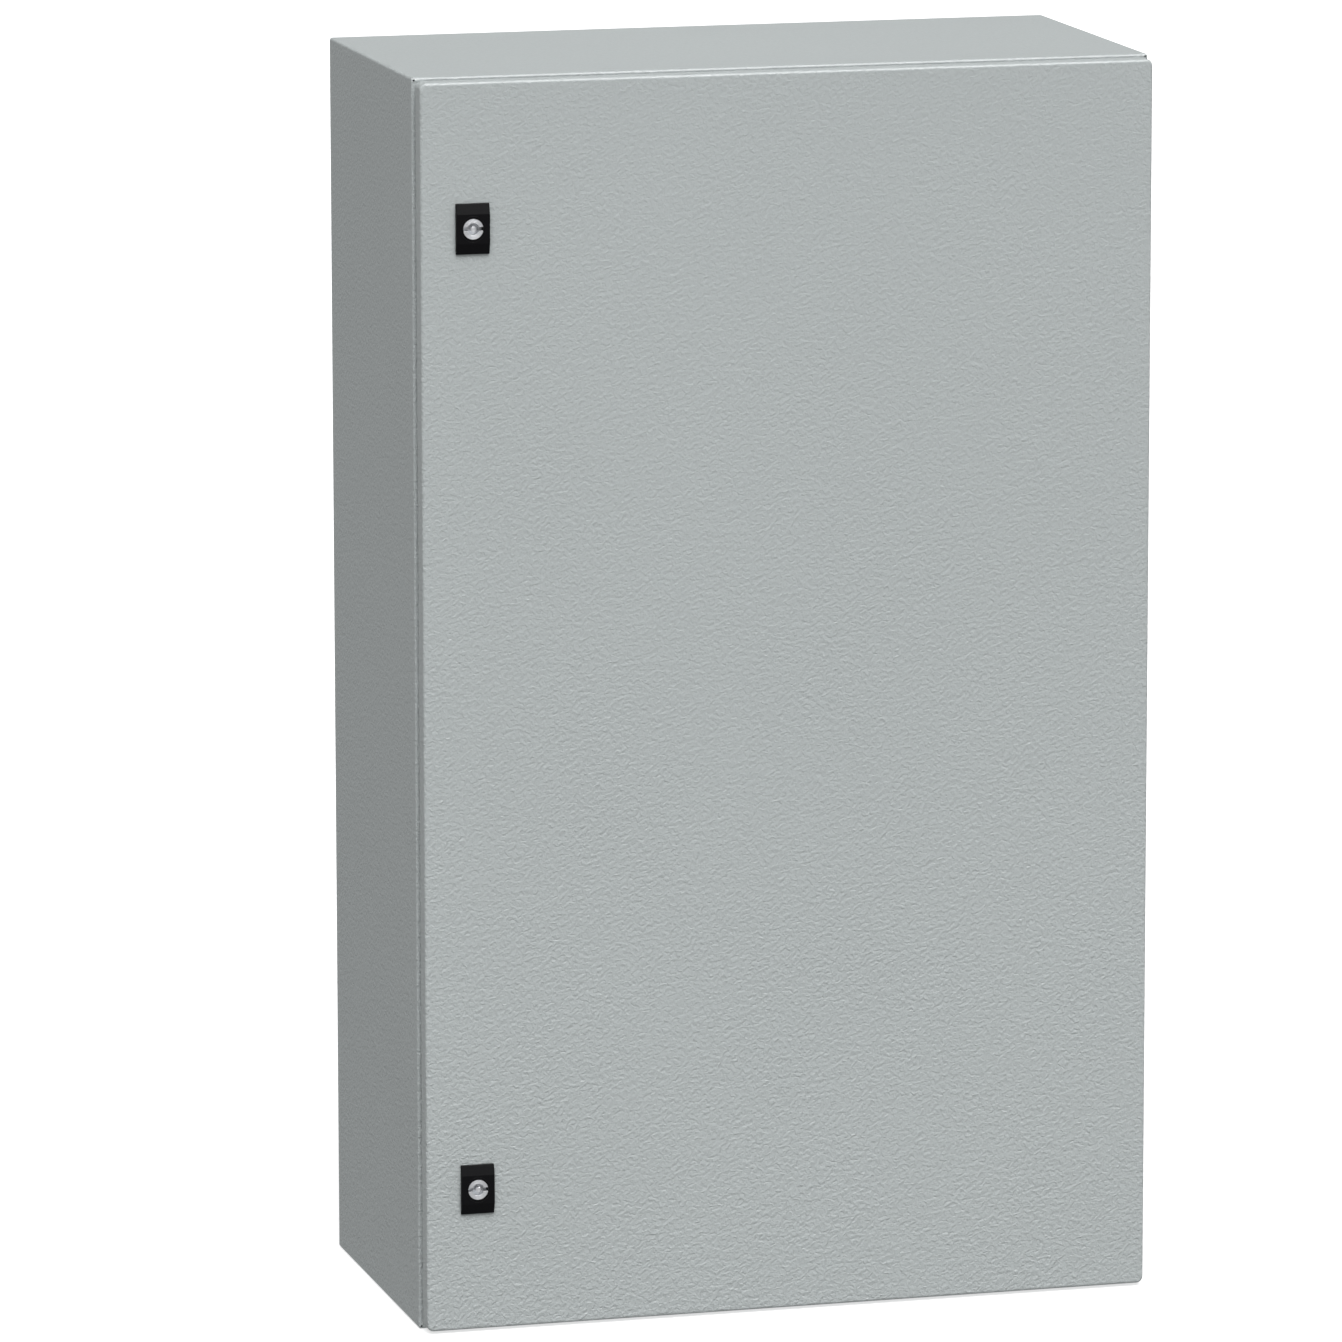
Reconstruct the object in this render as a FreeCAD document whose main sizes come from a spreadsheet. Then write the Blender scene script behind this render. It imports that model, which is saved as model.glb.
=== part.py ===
import FreeCAD, Part

import os
import re

import Sketcher

# A wall-mounting switchboard cabinet in folded sheet steel: a body with a rimmed front, a blank door
# hung on concealed hinges at the right and shut by two quarter-turn locks at the left, and inside it
# a mounting plate on studs. X runs to the right, Y to the back and Z up, in millimetres.
# The origin lies on the back, midway between the four wall holes, and the front faces -Y.

os.makedirs("parts", exist_ok=True)
doc = FreeCAD.newDocument("switchboard_cabinet")
V = FreeCAD.Vector

# ---------------------------------------------------------------- driving sizes

SIZES = [
    ("overall_width", 600, "body, side to side"),
    ("overall_height", 1000, "body, bottom to top"),
    ("overall_depth", 300, "back to the door's face"),
    ("door_stand", 20, "door's face ahead of the shoulder"),
    ("body_sheet", 1.5, "thickness of the body and back"),
    ("body_bend", 2, "outside radius of the body's folds"),
    ("gutter_width", 26, "shoulder, from the side to the rim"),
    ("rim_height", 11, "rim, ahead of the shoulder"),
    ("rim_corner", 10, "outside radius of the rim's corners"),
    ("relief_radius", 0.9, "drilled relief where three folds meet"),
    ("back_flange", 12, "fold round the back panel"),
    ("back_corner", 4, "radius of the back panel's corners"),
    ("wall_hole_radius", 4.25, "wall fixing holes"),
    ("wall_hole_inset", 20, "wall holes, in from the sides and ends"),
    ("gland_side_gap", 100, "cable opening in the bottom, from the sides"),
    ("gland_front_gap", 45, "cable opening, from the shoulder"),
    ("gland_back_gap", 95, "cable opening, from the back"),
    ("gland_lap", 22, "gland plate beyond its opening"),
    ("gland_seal", 3, "thickness of the gland plate's seal"),
    ("gland_sheet", 2, "thickness of the gland plate"),
    ("gland_screw_radius", 2.5, "gland plate screws"),
    ("door_inset", 2, "door's edge inside the body's outline"),
    ("door_sheet", 2, "thickness of the door"),
    ("door_flange", 15, "depth of the door's turned edge"),
    ("door_bend", 2.5, "outside radius of the door's folds"),
    ("door_corner", 5.5, "outside radius of the door's corners"),
    ("gasket_width", 8, "door seal"),
    ("gasket_gap", 0.3, "door seal, clear of the rim"),
    ("gasket_crown", 2, "rounding of the seal's back"),
    ("rail_width", 18, "crown of a door rail"),
    ("rail_depth", 12, "door rail, off the door"),
    ("rail_foot", 8, "each foot of a door rail"),
    ("rail_sheet", 1.5, "thickness of a door rail"),
    ("rail_from_lock", 35, "middle of a rail, inward of the lock axis"),
    ("rail_end_gap", 60, "rail's end from the body's end"),
    ("rail_hole_radius", 2.75, "holes along a rail"),
    ("rail_hole_pitch", 25, "spacing of the rail's holes"),
    ("hinge_from_end", 100, "outer hinges from the body's ends"),
    ("pivot_inset", 4.6, "hinge axis from the door's inner faces"),
    ("pin_radius", 2, "hinge pin"),
    ("pin_play", 0.05, "pin inside the leaf's bores"),
    ("pin_head_radius", 3.2, "head of the hinge pin"),
    ("pin_head_height", 1.5, "head of the hinge pin"),
    ("knuckle_radius", 4.2, "hinge knuckles"),
    ("knuckle_room", 4.7, "notch in the leaf round the knuckle"),
    ("knuckle_gap", 0.4, "between knuckles, end to end"),
    ("bracket_height", 20, "knuckle of the body bracket"),
    ("leaf_height", 44, "door leaf and bracket foot"),
    ("foot_sheet", 2, "foot of the body bracket"),
    ("foot_from_rim", 1.5, "foot from the rim's outer face"),
    ("foot_from_side", 3, "foot from the body's side"),
    ("riser_from_rim", 3.8, "upright of the bracket from the rim"),
    ("riser_sheet", 2.4, "upright of the bracket"),
    ("arm_sheet", 3.6, "arm of the bracket"),
    ("arm_round", 3, "outer bend of the arm"),
    ("hinge_screw_radius", 2, "screws in the bracket's foot"),
    ("hinge_screw_pitch", 32, "screws in the bracket's foot"),
    ("hinge_screw_inset", 12, "screws from the body's side"),
    ("screw_play", 0.05, "screws inside their holes"),
    ("lock_from_rim", 17, "lock axis, inward of the rim's outer face"),
    ("lock_from_end", 116.6, "lock axis from the body's end"),
    ("lock_seal", 0.6, "thickness of the seal under the lock"),
    ("lock_seal_inset", 1, "seal inside the escutcheon's outline"),
    ("escutcheon_width", 27, "escutcheon"),
    ("escutcheon_height", 40, "escutcheon"),
    ("escutcheon_flat", 23, "raised flat of the escutcheon"),
    ("escutcheon_edge", 2, "escutcheon's top and bottom edges, off the door"),
    ("escutcheon_stand", 4.2, "escutcheon's flat, off the door"),
    ("escutcheon_round", 0.6, "escutcheon's edges"),
    ("collar_radius", 10.2, "collar of the lock housing"),
    ("collar_height", 1, "collar of the lock housing"),
    ("housing_radius", 9.2, "lock housing, through the door"),
    ("housing_room", 9.5, "hole for the lock housing"),
    ("housing_reach", 22, "lock housing, behind the door's face"),
    ("turn_play", 0.05, "lock insert inside its housing"),
    ("insert_radius", 8.1, "face of the lock insert"),
    ("insert_stand", 4, "face of the lock insert, off the door"),
    ("insert_head", 9, "thick front of the lock insert"),
    ("spindle_radius", 5, "spindle of the lock insert"),
    ("socket_radius", 4.7, "key socket"),
    ("key_pin_radius", 2.2, "pin in the key socket"),
    ("socket_depth", 5, "key socket"),
    ("wing_width", 3.1, "notches for the key's two bits"),
    ("wing_reach", 8.6, "notches, out from the axis and through the rim"),
    ("wing_depth", 6, "notches for the key's two bits"),
    ("cam_from_face", 24, "front of the cam behind the door's face"),
    ("cam_sheet", 3, "thickness of the cam"),
    ("cam_width", 16, "tongue of the cam"),
    ("cam_reach", 30, "tongue, from the axis"),
    ("cam_heel", 10, "cam, behind the axis"),
    ("cam_square", 8, "square on the spindle's end"),
    ("square_play", 0.1, "square inside the cam"),
    ("cam_screw_radius", 2, "screw that holds the cam"),
    ("cam_screw_reach", 8, "screw that holds the cam"),
    ("cam_head_radius", 4.6, "its head"),
    ("cam_head_height", 3, "its head"),
    ("lock_nut_flats", 22, "nut behind the door"),
    ("lock_nut_height", 6, "nut behind the door"),
    ("plate_gap", 2.5, "mounting plate, inside the rim's opening all round"),
    ("plate_sheet", 2.5, "thickness of the mounting plate"),
    ("plate_flange", 10, "fold down the mounting plate's sides"),
    ("plate_bend", 3.5, "outside radius of that fold"),
    ("plate_off_wall", 13.5, "mounting plate, off the back panel"),
    ("plate_hole_radius", 4.5, "stud holes in the mounting plate"),
    ("stud_inset", 20, "studs from the mounting plate's sides"),
    ("stud_end_inset", 30, "studs from the mounting plate's ends"),
    ("stud_radius", 4, "welded studs"),
    ("stud_length", 32, "welded studs"),
    ("stud_collar_radius", 8, "collar that the plate sits on"),
    ("washer_radius", 8, "plain washers"),
    ("washer_sheet", 1.6, "plain washers"),
    ("washer_play", 0.2, "washers on their studs"),
    ("nut_flats", 13, "nuts on the studs"),
    ("nut_height", 6.5, "nuts on the studs"),
    ("nut_play", 0.05, "nuts on their studs"),
    ("earth_stud_length", 22, "earthing studs"),
    ("earth_from_end", 60, "earthing studs from the body's bottom"),
    ("body_earth_behind", 60, "earthing stud on the body's side, from the shoulder"),
    ("door_earth_from_rim", 20, "earthing stud on the door, inward of the rim's outer face"),
    ("door_stud_radius", 3, "earthing stud on the door"),
    ("door_washer_radius", 6, "washer on the door's stud"),
    ("door_nut_flats", 10, "nut on the door's stud"),
    ("door_nut_height", 5, "nut on the door's stud"),
]

sheet = doc.addObject("Spreadsheet::Sheet", "Sizes")
for row, (word, number, meaning) in enumerate(SIZES, start=1):
    sheet.set(f"A{row}", meaning)
    sheet.set(f"B{row}", str(number))
    sheet.setAlias(f"B{row}", word)
doc.recompute()

SIZE_WORDS = {word for word, number, meaning in SIZES}


def driven(text):
    """An expression in plain size words, with each word pointed at its cell in the sheet."""
    return re.sub(r"[a-z_]+", lambda m: "Sizes." + m[0] if m[0] in SIZE_WORDS else m[0], text)


# Places that several pieces share, as expressions. Distances named "ahead" run forwards from the back.
SHOULDER_AHEAD = "(overall_depth - door_stand)"
DOOR_BACK_AHEAD = "(overall_depth - door_sheet)"
RIM_WIDTH = "(overall_width - 2 * gutter_width)"
RIM_TALL = "(overall_height - 2 * gutter_width)"
DOOR_WIDTH = "(overall_width - 2 * door_inset)"
DOOR_TALL = "(overall_height - 2 * door_inset)"
PIVOT_ACROSS = "(overall_width / 2 - door_inset - door_sheet - pivot_inset)"
PIVOT_AHEAD = "(overall_depth - door_sheet - pivot_inset)"
LOCK_ACROSS = "(gutter_width + lock_from_rim - overall_width / 2)"
RAIL_ACROSS = "(overall_width / 2 - gutter_width - lock_from_rim - rail_from_lock)"
HOUSING_OUT = "(0 - housing_reach)"
HINGE_SCREW_ACROSS = "(overall_width / 2 - hinge_screw_inset)"
OPENING_WIDTH = "(overall_width - 2 * gutter_width - 2 * body_sheet)"
OPENING_TALL = "(overall_height - 2 * gutter_width - 2 * body_sheet)"
PLATE_WIDTH = f"({OPENING_WIDTH} - 2 * plate_gap)"
PLATE_TALL = f"({OPENING_TALL} - 2 * plate_gap)"
PLATE_BACK_AHEAD = "(body_sheet + plate_off_wall)"
PLATE_FRONT_AHEAD = "(body_sheet + plate_off_wall + plate_sheet)"
STUD_ACROSS = f"({PLATE_WIDTH} / 2 - stud_inset)"
STUD_UP = f"({PLATE_TALL} / 2 - stud_end_inset)"
GLAND_WIDTH = "(overall_width - 2 * gland_side_gap)"
GLAND_DEPTH = f"({SHOULDER_AHEAD} - gland_front_gap - gland_back_gap)"
GLAND_BACK = f"(0 - gland_back_gap - {GLAND_DEPTH} / 2)"
GLAND_SCREW_ACROSS = f"({GLAND_WIDTH} / 2 + gland_lap / 2)"
GLAND_SCREW_BACK = f"({GLAND_DEPTH} / 2 + gland_lap / 2)"

HINGE_HEIGHTS = {
    "upper": "overall_height / 2 - hinge_from_end",
    "middle": "0",
    "lower": "hinge_from_end - overall_height / 2",
}
LOCK_HEIGHTS = {
    "upper": "overall_height / 2 - lock_from_end",
    "lower": "lock_from_end - overall_height / 2",
}
FOUR_CORNERS = [(-1, -1), (1, -1), (1, 1), (-1, 1)]

# ---------------------------------------------------------------- ways of making a piece

nodes = []
SAME_PLACE = 1e-4


def keep(piece, name):
    """A finished sub-part: its label is also the name of its file."""
    piece.Label = name
    nodes.append(piece)
    return piece


def place(piece, across="0", back="0", up="0"):
    for axis, text in zip("xyz", (across, back, up)):
        piece.setExpression("Placement.Base." + axis, driven(text))


def sketch_on(body, plane, across="0", up="0", out="0"):
    """A sketch on one of the body's own planes, moved along it and out of it.
    On XZ the sketch faces forwards, so out is a distance ahead of the body's origin."""
    sketch = body.newObject("Sketcher::SketchObject", body.Name + "_outline")
    base = [f for f in body.Origin.OriginFeatures if f.Role == plane + "_Plane"][0]
    sketch.AttachmentSupport = [(base, "")]
    sketch.MapMode = "FlatFace"
    for axis, text in zip("xyz", (across, up, out)):
        sketch.setExpression("AttachmentOffset.Base." + axis, driven(text))
    return sketch


def hold(sketch, kind, first, first_end, second, second_end, text, guess):
    """A distance between two points of a sketch, bound to the sheet."""
    number = sketch.addConstraint(
        Sketcher.Constraint(kind, first, first_end, second, second_end, guess)
    )
    sketch.setExpression(f"Constraints[{number}]", driven(text))


def polygon(sketch, corners):
    """Straight lines from corner to corner, each corner held by its two distances."""
    first = sketch.GeometryCount
    count = len(corners)
    turn = 360 / count
    points = [FreeCAD.Rotation(V(0, 0, 1), turn * i).multVec(V(9, 0, 0)) for i in range(count)]
    for i in range(count):
        sketch.addGeometry(Part.LineSegment(points[i], points[(i + 1) % count]))
    for i in range(count):
        after = first + (i + 1) % count
        sketch.addConstraint(Sketcher.Constraint("Coincident", first + i, 2, after, 1))
    for i, (across, up) in enumerate(corners):
        hold(sketch, "DistanceX", -1, 1, first + i, 1, across, points[i].x)
        hold(sketch, "DistanceY", -1, 1, first + i, 1, up, points[i].y)


def rectangle(sketch, width, height):
    """A rectangle about the sketch's origin."""
    polygon(sketch, [(f"{x} * {width} / 2", f"{y} * {height} / 2") for x, y in FOUR_CORNERS])


def circle(sketch, radius, across="0", up="0"):
    spot = sketch.addGeometry(Part.Circle(V(0, 0, 0), V(0, 0, 1), 1.0))
    number = sketch.addConstraint(Sketcher.Constraint("Radius", spot, 1.0))
    sketch.setExpression(f"Constraints[{number}]", driven(radius))
    hold(sketch, "DistanceX", -1, 1, spot, 3, across, 0.0)
    hold(sketch, "DistanceY", -1, 1, spot, 3, up, 0.0)


def extrude(body, kind, sketch, length, reverse, both_ways):
    step = body.newObject("PartDesign::" + kind, body.Name + "_" + kind.lower())
    step.Profile = sketch
    step.Reversed = reverse
    step.SideType = "Symmetric" if both_ways else "One side"
    step.setExpression("Length", driven(length))
    doc.recompute()
    return step


def pad(body, sketch, length, reverse=False, both_ways=False):
    return extrude(body, "Pad", sketch, length, reverse, both_ways)


def pocket(body, sketch, depth, reverse=False, both_ways=False):
    """A cut, with a check that it took something away."""
    before = body.Shape.Volume
    step = extrude(body, "Pocket", sketch, depth, reverse, both_ways)
    if step.Shape.Volume > before - SAME_PLACE:
        raise RuntimeError(f"{step.Name} cuts nothing")
    return step


def edges_of(step, test):
    return [f"Edge{i}" for i, edge in enumerate(step.Shape.Edges, start=1) if test(edge)]


def fillet(body, step, test, radius):
    """A fillet on the edges of a step that pass a test."""
    chosen = edges_of(step, test)
    if not chosen:
        raise RuntimeError(f"{body.Name}: no edge to round by {radius}")
    rounding = body.newObject("PartDesign::Fillet", body.Name + "_fillet")
    rounding.Base = (step, chosen)
    rounding.setExpression("Radius", driven(radius))
    doc.recompute()
    return rounding


def near(one, other):
    return abs(one - other) < SAME_PLACE


def flat_in(edge, axis, level):
    """Whether an edge lies in the plane across an axis, at a level."""
    low, high = {
        "x": (edge.BoundBox.XMin, edge.BoundBox.XMax),
        "y": (edge.BoundBox.YMin, edge.BoundBox.YMax),
        "z": (edge.BoundBox.ZMin, edge.BoundBox.ZMax),
    }[axis]
    return near(low, level) and near(high, level)


def runs_along(edge, axis):
    """Whether an edge is a straight line along an axis."""
    if len(edge.Vertexes) < 2 or edge.Degenerated:
        return False
    along = edge.Vertexes[1].Point - edge.Vertexes[0].Point
    return near(along.Length, edge.Length) and near(abs(along.dot(axis)), edge.Length)


def half(word):
    return getattr(sheet, word) / 2


def new_body(name):
    return doc.addObject("PartDesign::Body", name)


TURNS = {
    "up": FreeCAD.Rotation(),
    "backwards": FreeCAD.Rotation(V(1, 0, 0), -90),
    "right": FreeCAD.Rotation(V(0, 1, 0), 90),
    "forwards": FreeCAD.Rotation(V(1, 0, 0), 90),
}
FLATS_UP = FreeCAD.Rotation(V(0, 0, 1), 30)


def cylinder(name, radius, height, spot, facing):
    piece = doc.addObject("Part::Cylinder", name)
    piece.setExpression("Radius", driven(radius))
    piece.setExpression("Height", driven(height))
    piece.Placement.Rotation = TURNS[facing]
    place(piece, *spot)
    return piece


def hexagon(name, flats, height, spot, facing):
    """A six-sided bar, known by the distance across its flats."""
    piece = doc.addObject("Part::Prism", name)
    piece.Polygon = 6
    piece.setExpression("Circumradius", driven(f"{flats} / sqrt(3)"))
    piece.setExpression("Height", driven(height))
    piece.Placement.Rotation = TURNS[facing] * FLATS_UP
    place(piece, *spot)
    return piece


def less(name, whole, tool):
    piece = doc.addObject("Part::Cut", name)
    piece.Base = whole
    piece.Tool = tool
    return piece


def together(name, pieces):
    piece = doc.addObject("Part::MultiFuse", name)
    piece.Shapes = pieces
    piece.Refine = True
    return piece


def ring(name, outer, bore, height, spot, facing):
    """A washer: a disc less its bore."""
    disc = cylinder(name + "_disc", outer, height, spot, facing)
    hole = cylinder(name + "_bore", bore, height, spot, facing)
    return less(name, disc, hole)


def nut(name, flats, bore, height, spot, facing):
    bar = hexagon(name + "_bar", flats, height, spot, facing)
    hole = cylinder(name + "_bore", bore, height, spot, facing)
    return less(name, bar, hole)


# ---------------------------------------------------------------- body


def make_body_wrap():
    """Sides, top, bottom, shoulder and rim, folded from one sheet and open at the back."""
    wrap = new_body("body_wrap")
    outline = sketch_on(wrap, "XZ")
    rectangle(outline, "overall_width", "overall_height")
    block = pad(wrap, outline, SHOULDER_AHEAD)
    side_folds = fillet(wrap, block, lambda e: runs_along(e, V(0, 1, 0)), "body_bend")
    shoulder = side_folds.Shape.BoundBox.YMin
    fillet(wrap, side_folds, lambda e: flat_in(e, "y", shoulder), "body_bend")

    rim = sketch_on(wrap, "XZ", out=SHOULDER_AHEAD)
    rectangle(rim, RIM_WIDTH, RIM_TALL)
    pad(wrap, rim, "rim_height")

    hollow = sketch_on(wrap, "XZ")
    rectangle(hollow, "(overall_width - 2 * body_sheet)", "(overall_height - 2 * body_sheet)")
    hollowed = pocket(wrap, hollow, f"{SHOULDER_AHEAD} - body_sheet", reverse=True)
    inside = half("overall_width") - sheet.body_sheet
    inner_side_folds = fillet(
        wrap,
        hollowed,
        lambda e: runs_along(e, V(0, 1, 0)) and near(abs(e.BoundBox.XMin), inside),
        "body_bend - body_sheet",
    )
    shoulder_back = shoulder + sheet.body_sheet
    fillet(wrap, inner_side_folds, lambda e: flat_in(e, "y", shoulder_back), "body_bend - body_sheet")

    opening = sketch_on(wrap, "XZ", out=f"{SHOULDER_AHEAD} + rim_height")
    rectangle(opening, OPENING_WIDTH, OPENING_TALL)
    opened = pocket(wrap, opening, "rim_height + 2 * body_sheet")
    rim_edge = half("overall_width") - sheet.gutter_width
    rim_inside = rim_edge - sheet.body_sheet
    inner_corners = fillet(
        wrap,
        opened,
        lambda e: runs_along(e, V(0, 1, 0)) and near(abs(e.BoundBox.XMin), rim_inside),
        "rim_corner - body_sheet",
    )
    rim_corners = fillet(
        wrap,
        inner_corners,
        lambda e: runs_along(e, V(0, 1, 0)) and near(abs(e.BoundBox.XMin), rim_edge),
        "rim_corner",
    )
    around_rim = fillet(
        wrap,
        rim_corners,
        lambda e: flat_in(e, "y", shoulder) and abs(e.BoundBox.XMax) < rim_edge + SAME_PLACE,
        "body_bend - body_sheet",
    )
    fillet(
        wrap,
        around_rim,
        lambda e: flat_in(e, "y", shoulder_back) and abs(e.BoundBox.XMax) < rim_edge,
        "body_bend",
    )

    reliefs = sketch_on(wrap, "XZ", out=SHOULDER_AHEAD)
    for x, z in FOUR_CORNERS:
        circle(
            reliefs,
            "relief_radius",
            f"{x} * (overall_width / 2 - body_bend)",
            f"{z} * (overall_height / 2 - body_bend)",
        )
    pocket(wrap, reliefs, "2 * body_sheet")

    screws = sketch_on(wrap, "XZ", out=SHOULDER_AHEAD)
    for height in HINGE_HEIGHTS.values():
        for z in (-1, 1):
            circle(
                screws,
                "hinge_screw_radius + screw_play",
                HINGE_SCREW_ACROSS,
                f"{height} + {z} * hinge_screw_pitch / 2",
            )
    pocket(wrap, screws, "2 * body_sheet")

    cable_way = sketch_on(wrap, "XY", up=GLAND_BACK, out="0 - overall_height / 2")
    rectangle(cable_way, GLAND_WIDTH, GLAND_DEPTH)
    for x, y in gland_screw_spots():
        circle(cable_way, "gland_screw_radius + screw_play", x, y)
    pocket(wrap, cable_way, "2 * body_sheet", reverse=True)
    keep(wrap, "body_wrap")


def gland_screw_spots():
    """Three screws along the front and back of the cable opening and one at each end."""
    spots = [
        (f"{x} * {GLAND_SCREW_ACROSS}", f"{y} * {GLAND_SCREW_BACK}")
        for x in (-1, 0, 1)
        for y in (-1, 1)
    ]
    return spots + [(f"{x} * {GLAND_SCREW_ACROSS}", "0") for x in (-1, 1)]


def make_back_panel():
    """A shallow tray welded into the open back, its folds turned forwards."""
    panel = new_body("back_panel")
    outline = sketch_on(panel, "XZ")
    rectangle(outline, "(overall_width - 2 * body_sheet)", "(overall_height - 2 * body_sheet)")
    block = pad(panel, outline, "body_sheet + back_flange")
    corners = fillet(panel, block, lambda e: runs_along(e, V(0, 1, 0)), "back_corner")
    folds = fillet(panel, corners, lambda e: flat_in(e, "y", 0), "body_bend")
    hollow = sketch_on(panel, "XZ", out="body_sheet + back_flange")
    rectangle(hollow, "(overall_width - 4 * body_sheet)", "(overall_height - 4 * body_sheet)")
    hollowed = pocket(panel, hollow, "back_flange")
    inner_corners = fillet(
        panel,
        hollowed,
        lambda e: runs_along(e, V(0, 1, 0))
        and near(abs(e.BoundBox.XMin), half("overall_width") - 2 * sheet.body_sheet),
        "back_corner - body_sheet",
    )
    fillet(
        panel,
        inner_corners,
        lambda e: flat_in(e, "y", -sheet.body_sheet),
        "body_bend - body_sheet",
    )
    holes = sketch_on(panel, "XZ")
    for x, z in FOUR_CORNERS:
        circle(
            holes,
            "wall_hole_radius",
            f"{x} * (overall_width / 2 - wall_hole_inset)",
            f"{z} * (overall_height / 2 - wall_hole_inset)",
        )
    pocket(panel, holes, "2 * body_sheet", reverse=True)
    keep(panel, "back_panel")


def make_gland_sheet(name, thickness, above):
    """A flat piece over the cable opening: the seal, or the plate on top of it."""
    piece = new_body(name)
    outline = sketch_on(piece, "XY", up=GLAND_BACK)
    rectangle(outline, f"({GLAND_WIDTH} + 2 * gland_lap)", f"({GLAND_DEPTH} + 2 * gland_lap)")
    for x, y in gland_screw_spots():
        circle(outline, "gland_screw_radius + screw_play", x, y)
    pad(piece, outline, thickness)
    place(piece, up=f"body_sheet - overall_height / 2 + {above}")
    return piece


def make_gland():
    """The blank plate over the cable opening in the bottom, its seal and its screws."""
    seal = make_gland_sheet("gland_seal", "gland_seal", "0")
    mouth = sketch_on(seal, "XY", up=GLAND_BACK)
    rectangle(mouth, GLAND_WIDTH, GLAND_DEPTH)
    pocket(seal, mouth, "gland_seal", reverse=True)
    keep(seal, "gland_seal")
    keep(make_gland_sheet("gland_plate", "gland_sheet", "gland_seal"), "gland_plate")

    screws = []
    under = "0 - overall_height / 2"
    plate_top = "body_sheet + gland_seal + gland_sheet - overall_height / 2"
    for number, (x, y) in enumerate(gland_screw_spots(), start=1):
        back = f"{y} + {GLAND_BACK}"
        shank = cylinder(
            f"gland_shank_{number}",
            "gland_screw_radius",
            "body_sheet + gland_seal + gland_sheet",
            (x, back, under),
            "up",
        )
        head = cylinder(
            f"gland_head_{number}",
            "2 * gland_screw_radius",
            "1.2 * gland_screw_radius",
            (x, back, plate_top),
            "up",
        )
        screws += [shank, head]
    keep(together("gland_screws", screws), "gland_screws")


# ---------------------------------------------------------------- mounting plate and studs


def make_mounting_plate():
    """A thick galvanised sheet with its two long sides folded back."""
    plate = new_body("mounting_plate")
    outline = sketch_on(plate, "XZ", out=f"{PLATE_BACK_AHEAD} - plate_flange")
    rectangle(outline, PLATE_WIDTH, PLATE_TALL)
    block = pad(plate, outline, "plate_flange + plate_sheet")
    front = block.Shape.BoundBox.YMin
    folds = fillet(
        plate,
        block,
        lambda e: runs_along(e, V(0, 0, 1)) and flat_in(e, "y", front),
        "plate_bend",
    )
    hollow = sketch_on(plate, "XZ", out=f"{PLATE_BACK_AHEAD} - plate_flange")
    rectangle(hollow, f"({PLATE_WIDTH} - 2 * plate_sheet)", f"({PLATE_TALL} + 2 * plate_sheet)")
    hollowed = pocket(plate, hollow, "plate_flange", reverse=True)
    fillet(
        plate,
        hollowed,
        lambda e: runs_along(e, V(0, 0, 1)) and flat_in(e, "y", front + sheet.plate_sheet),
        "plate_bend - plate_sheet",
    )
    holes = sketch_on(plate, "XZ", out=PLATE_FRONT_AHEAD)
    for x, z in FOUR_CORNERS:
        circle(holes, "plate_hole_radius", f"{x} * {STUD_ACROSS}", f"{z} * {STUD_UP}")
    pocket(plate, holes, "2 * plate_sheet")
    keep(plate, "mounting_plate")


def make_plate_fixings():
    """Four welded studs with collars, and the washer and nut that go on each."""
    studs = []
    washers = []
    nuts = []
    for number, (x, z) in enumerate(FOUR_CORNERS, start=1):
        across = f"{x} * {STUD_ACROSS}"
        up = f"{z} * {STUD_UP}"
        root = (across, "0 - body_sheet", up)
        studs.append(cylinder(f"stud_{number}", "stud_radius", "stud_length", root, "forwards"))
        studs.append(
            cylinder(f"collar_{number}", "stud_collar_radius", "plate_off_wall", root, "forwards")
        )
        seat = (across, f"0 - {PLATE_FRONT_AHEAD}", up)
        washers.append(
            ring(
                f"washer_{number}",
                "washer_radius",
                "stud_radius + washer_play",
                "washer_sheet",
                seat,
                "forwards",
            )
        )
        nut_seat = (across, f"0 - {PLATE_FRONT_AHEAD} - washer_sheet", up)
        nuts.append(
            nut(
                f"nut_{number}",
                "nut_flats",
                "stud_radius + nut_play",
                "nut_height",
                nut_seat,
                "forwards",
            )
        )
    keep(together("mounting_studs", studs), "mounting_studs")
    keep(together("mounting_washers", washers), "mounting_washers")
    keep(together("mounting_nuts", nuts), "mounting_nuts")


def make_body_earth():
    """The earthing stud on the left side, near the bottom, with its washer and nut."""
    back = f"body_earth_behind - {SHOULDER_AHEAD}"
    up = "earth_from_end - overall_height / 2"
    wall = "body_sheet - overall_width / 2"
    stud = cylinder("body_earth_stud", "stud_radius", "earth_stud_length", (wall, back, up), "right")
    keep(stud, "body_earth_stud")
    washer = ring(
        "body_earth_washer",
        "washer_radius",
        "stud_radius + washer_play",
        "washer_sheet",
        (wall, back, up),
        "right",
    )
    keep(washer, "body_earth_washer")
    seat = (f"{wall} + washer_sheet", back, up)
    held = nut("body_earth_nut", "nut_flats", "stud_radius + nut_play", "nut_height", seat, "right")
    keep(held, "body_earth_nut")


# ---------------------------------------------------------------- hinges


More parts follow.
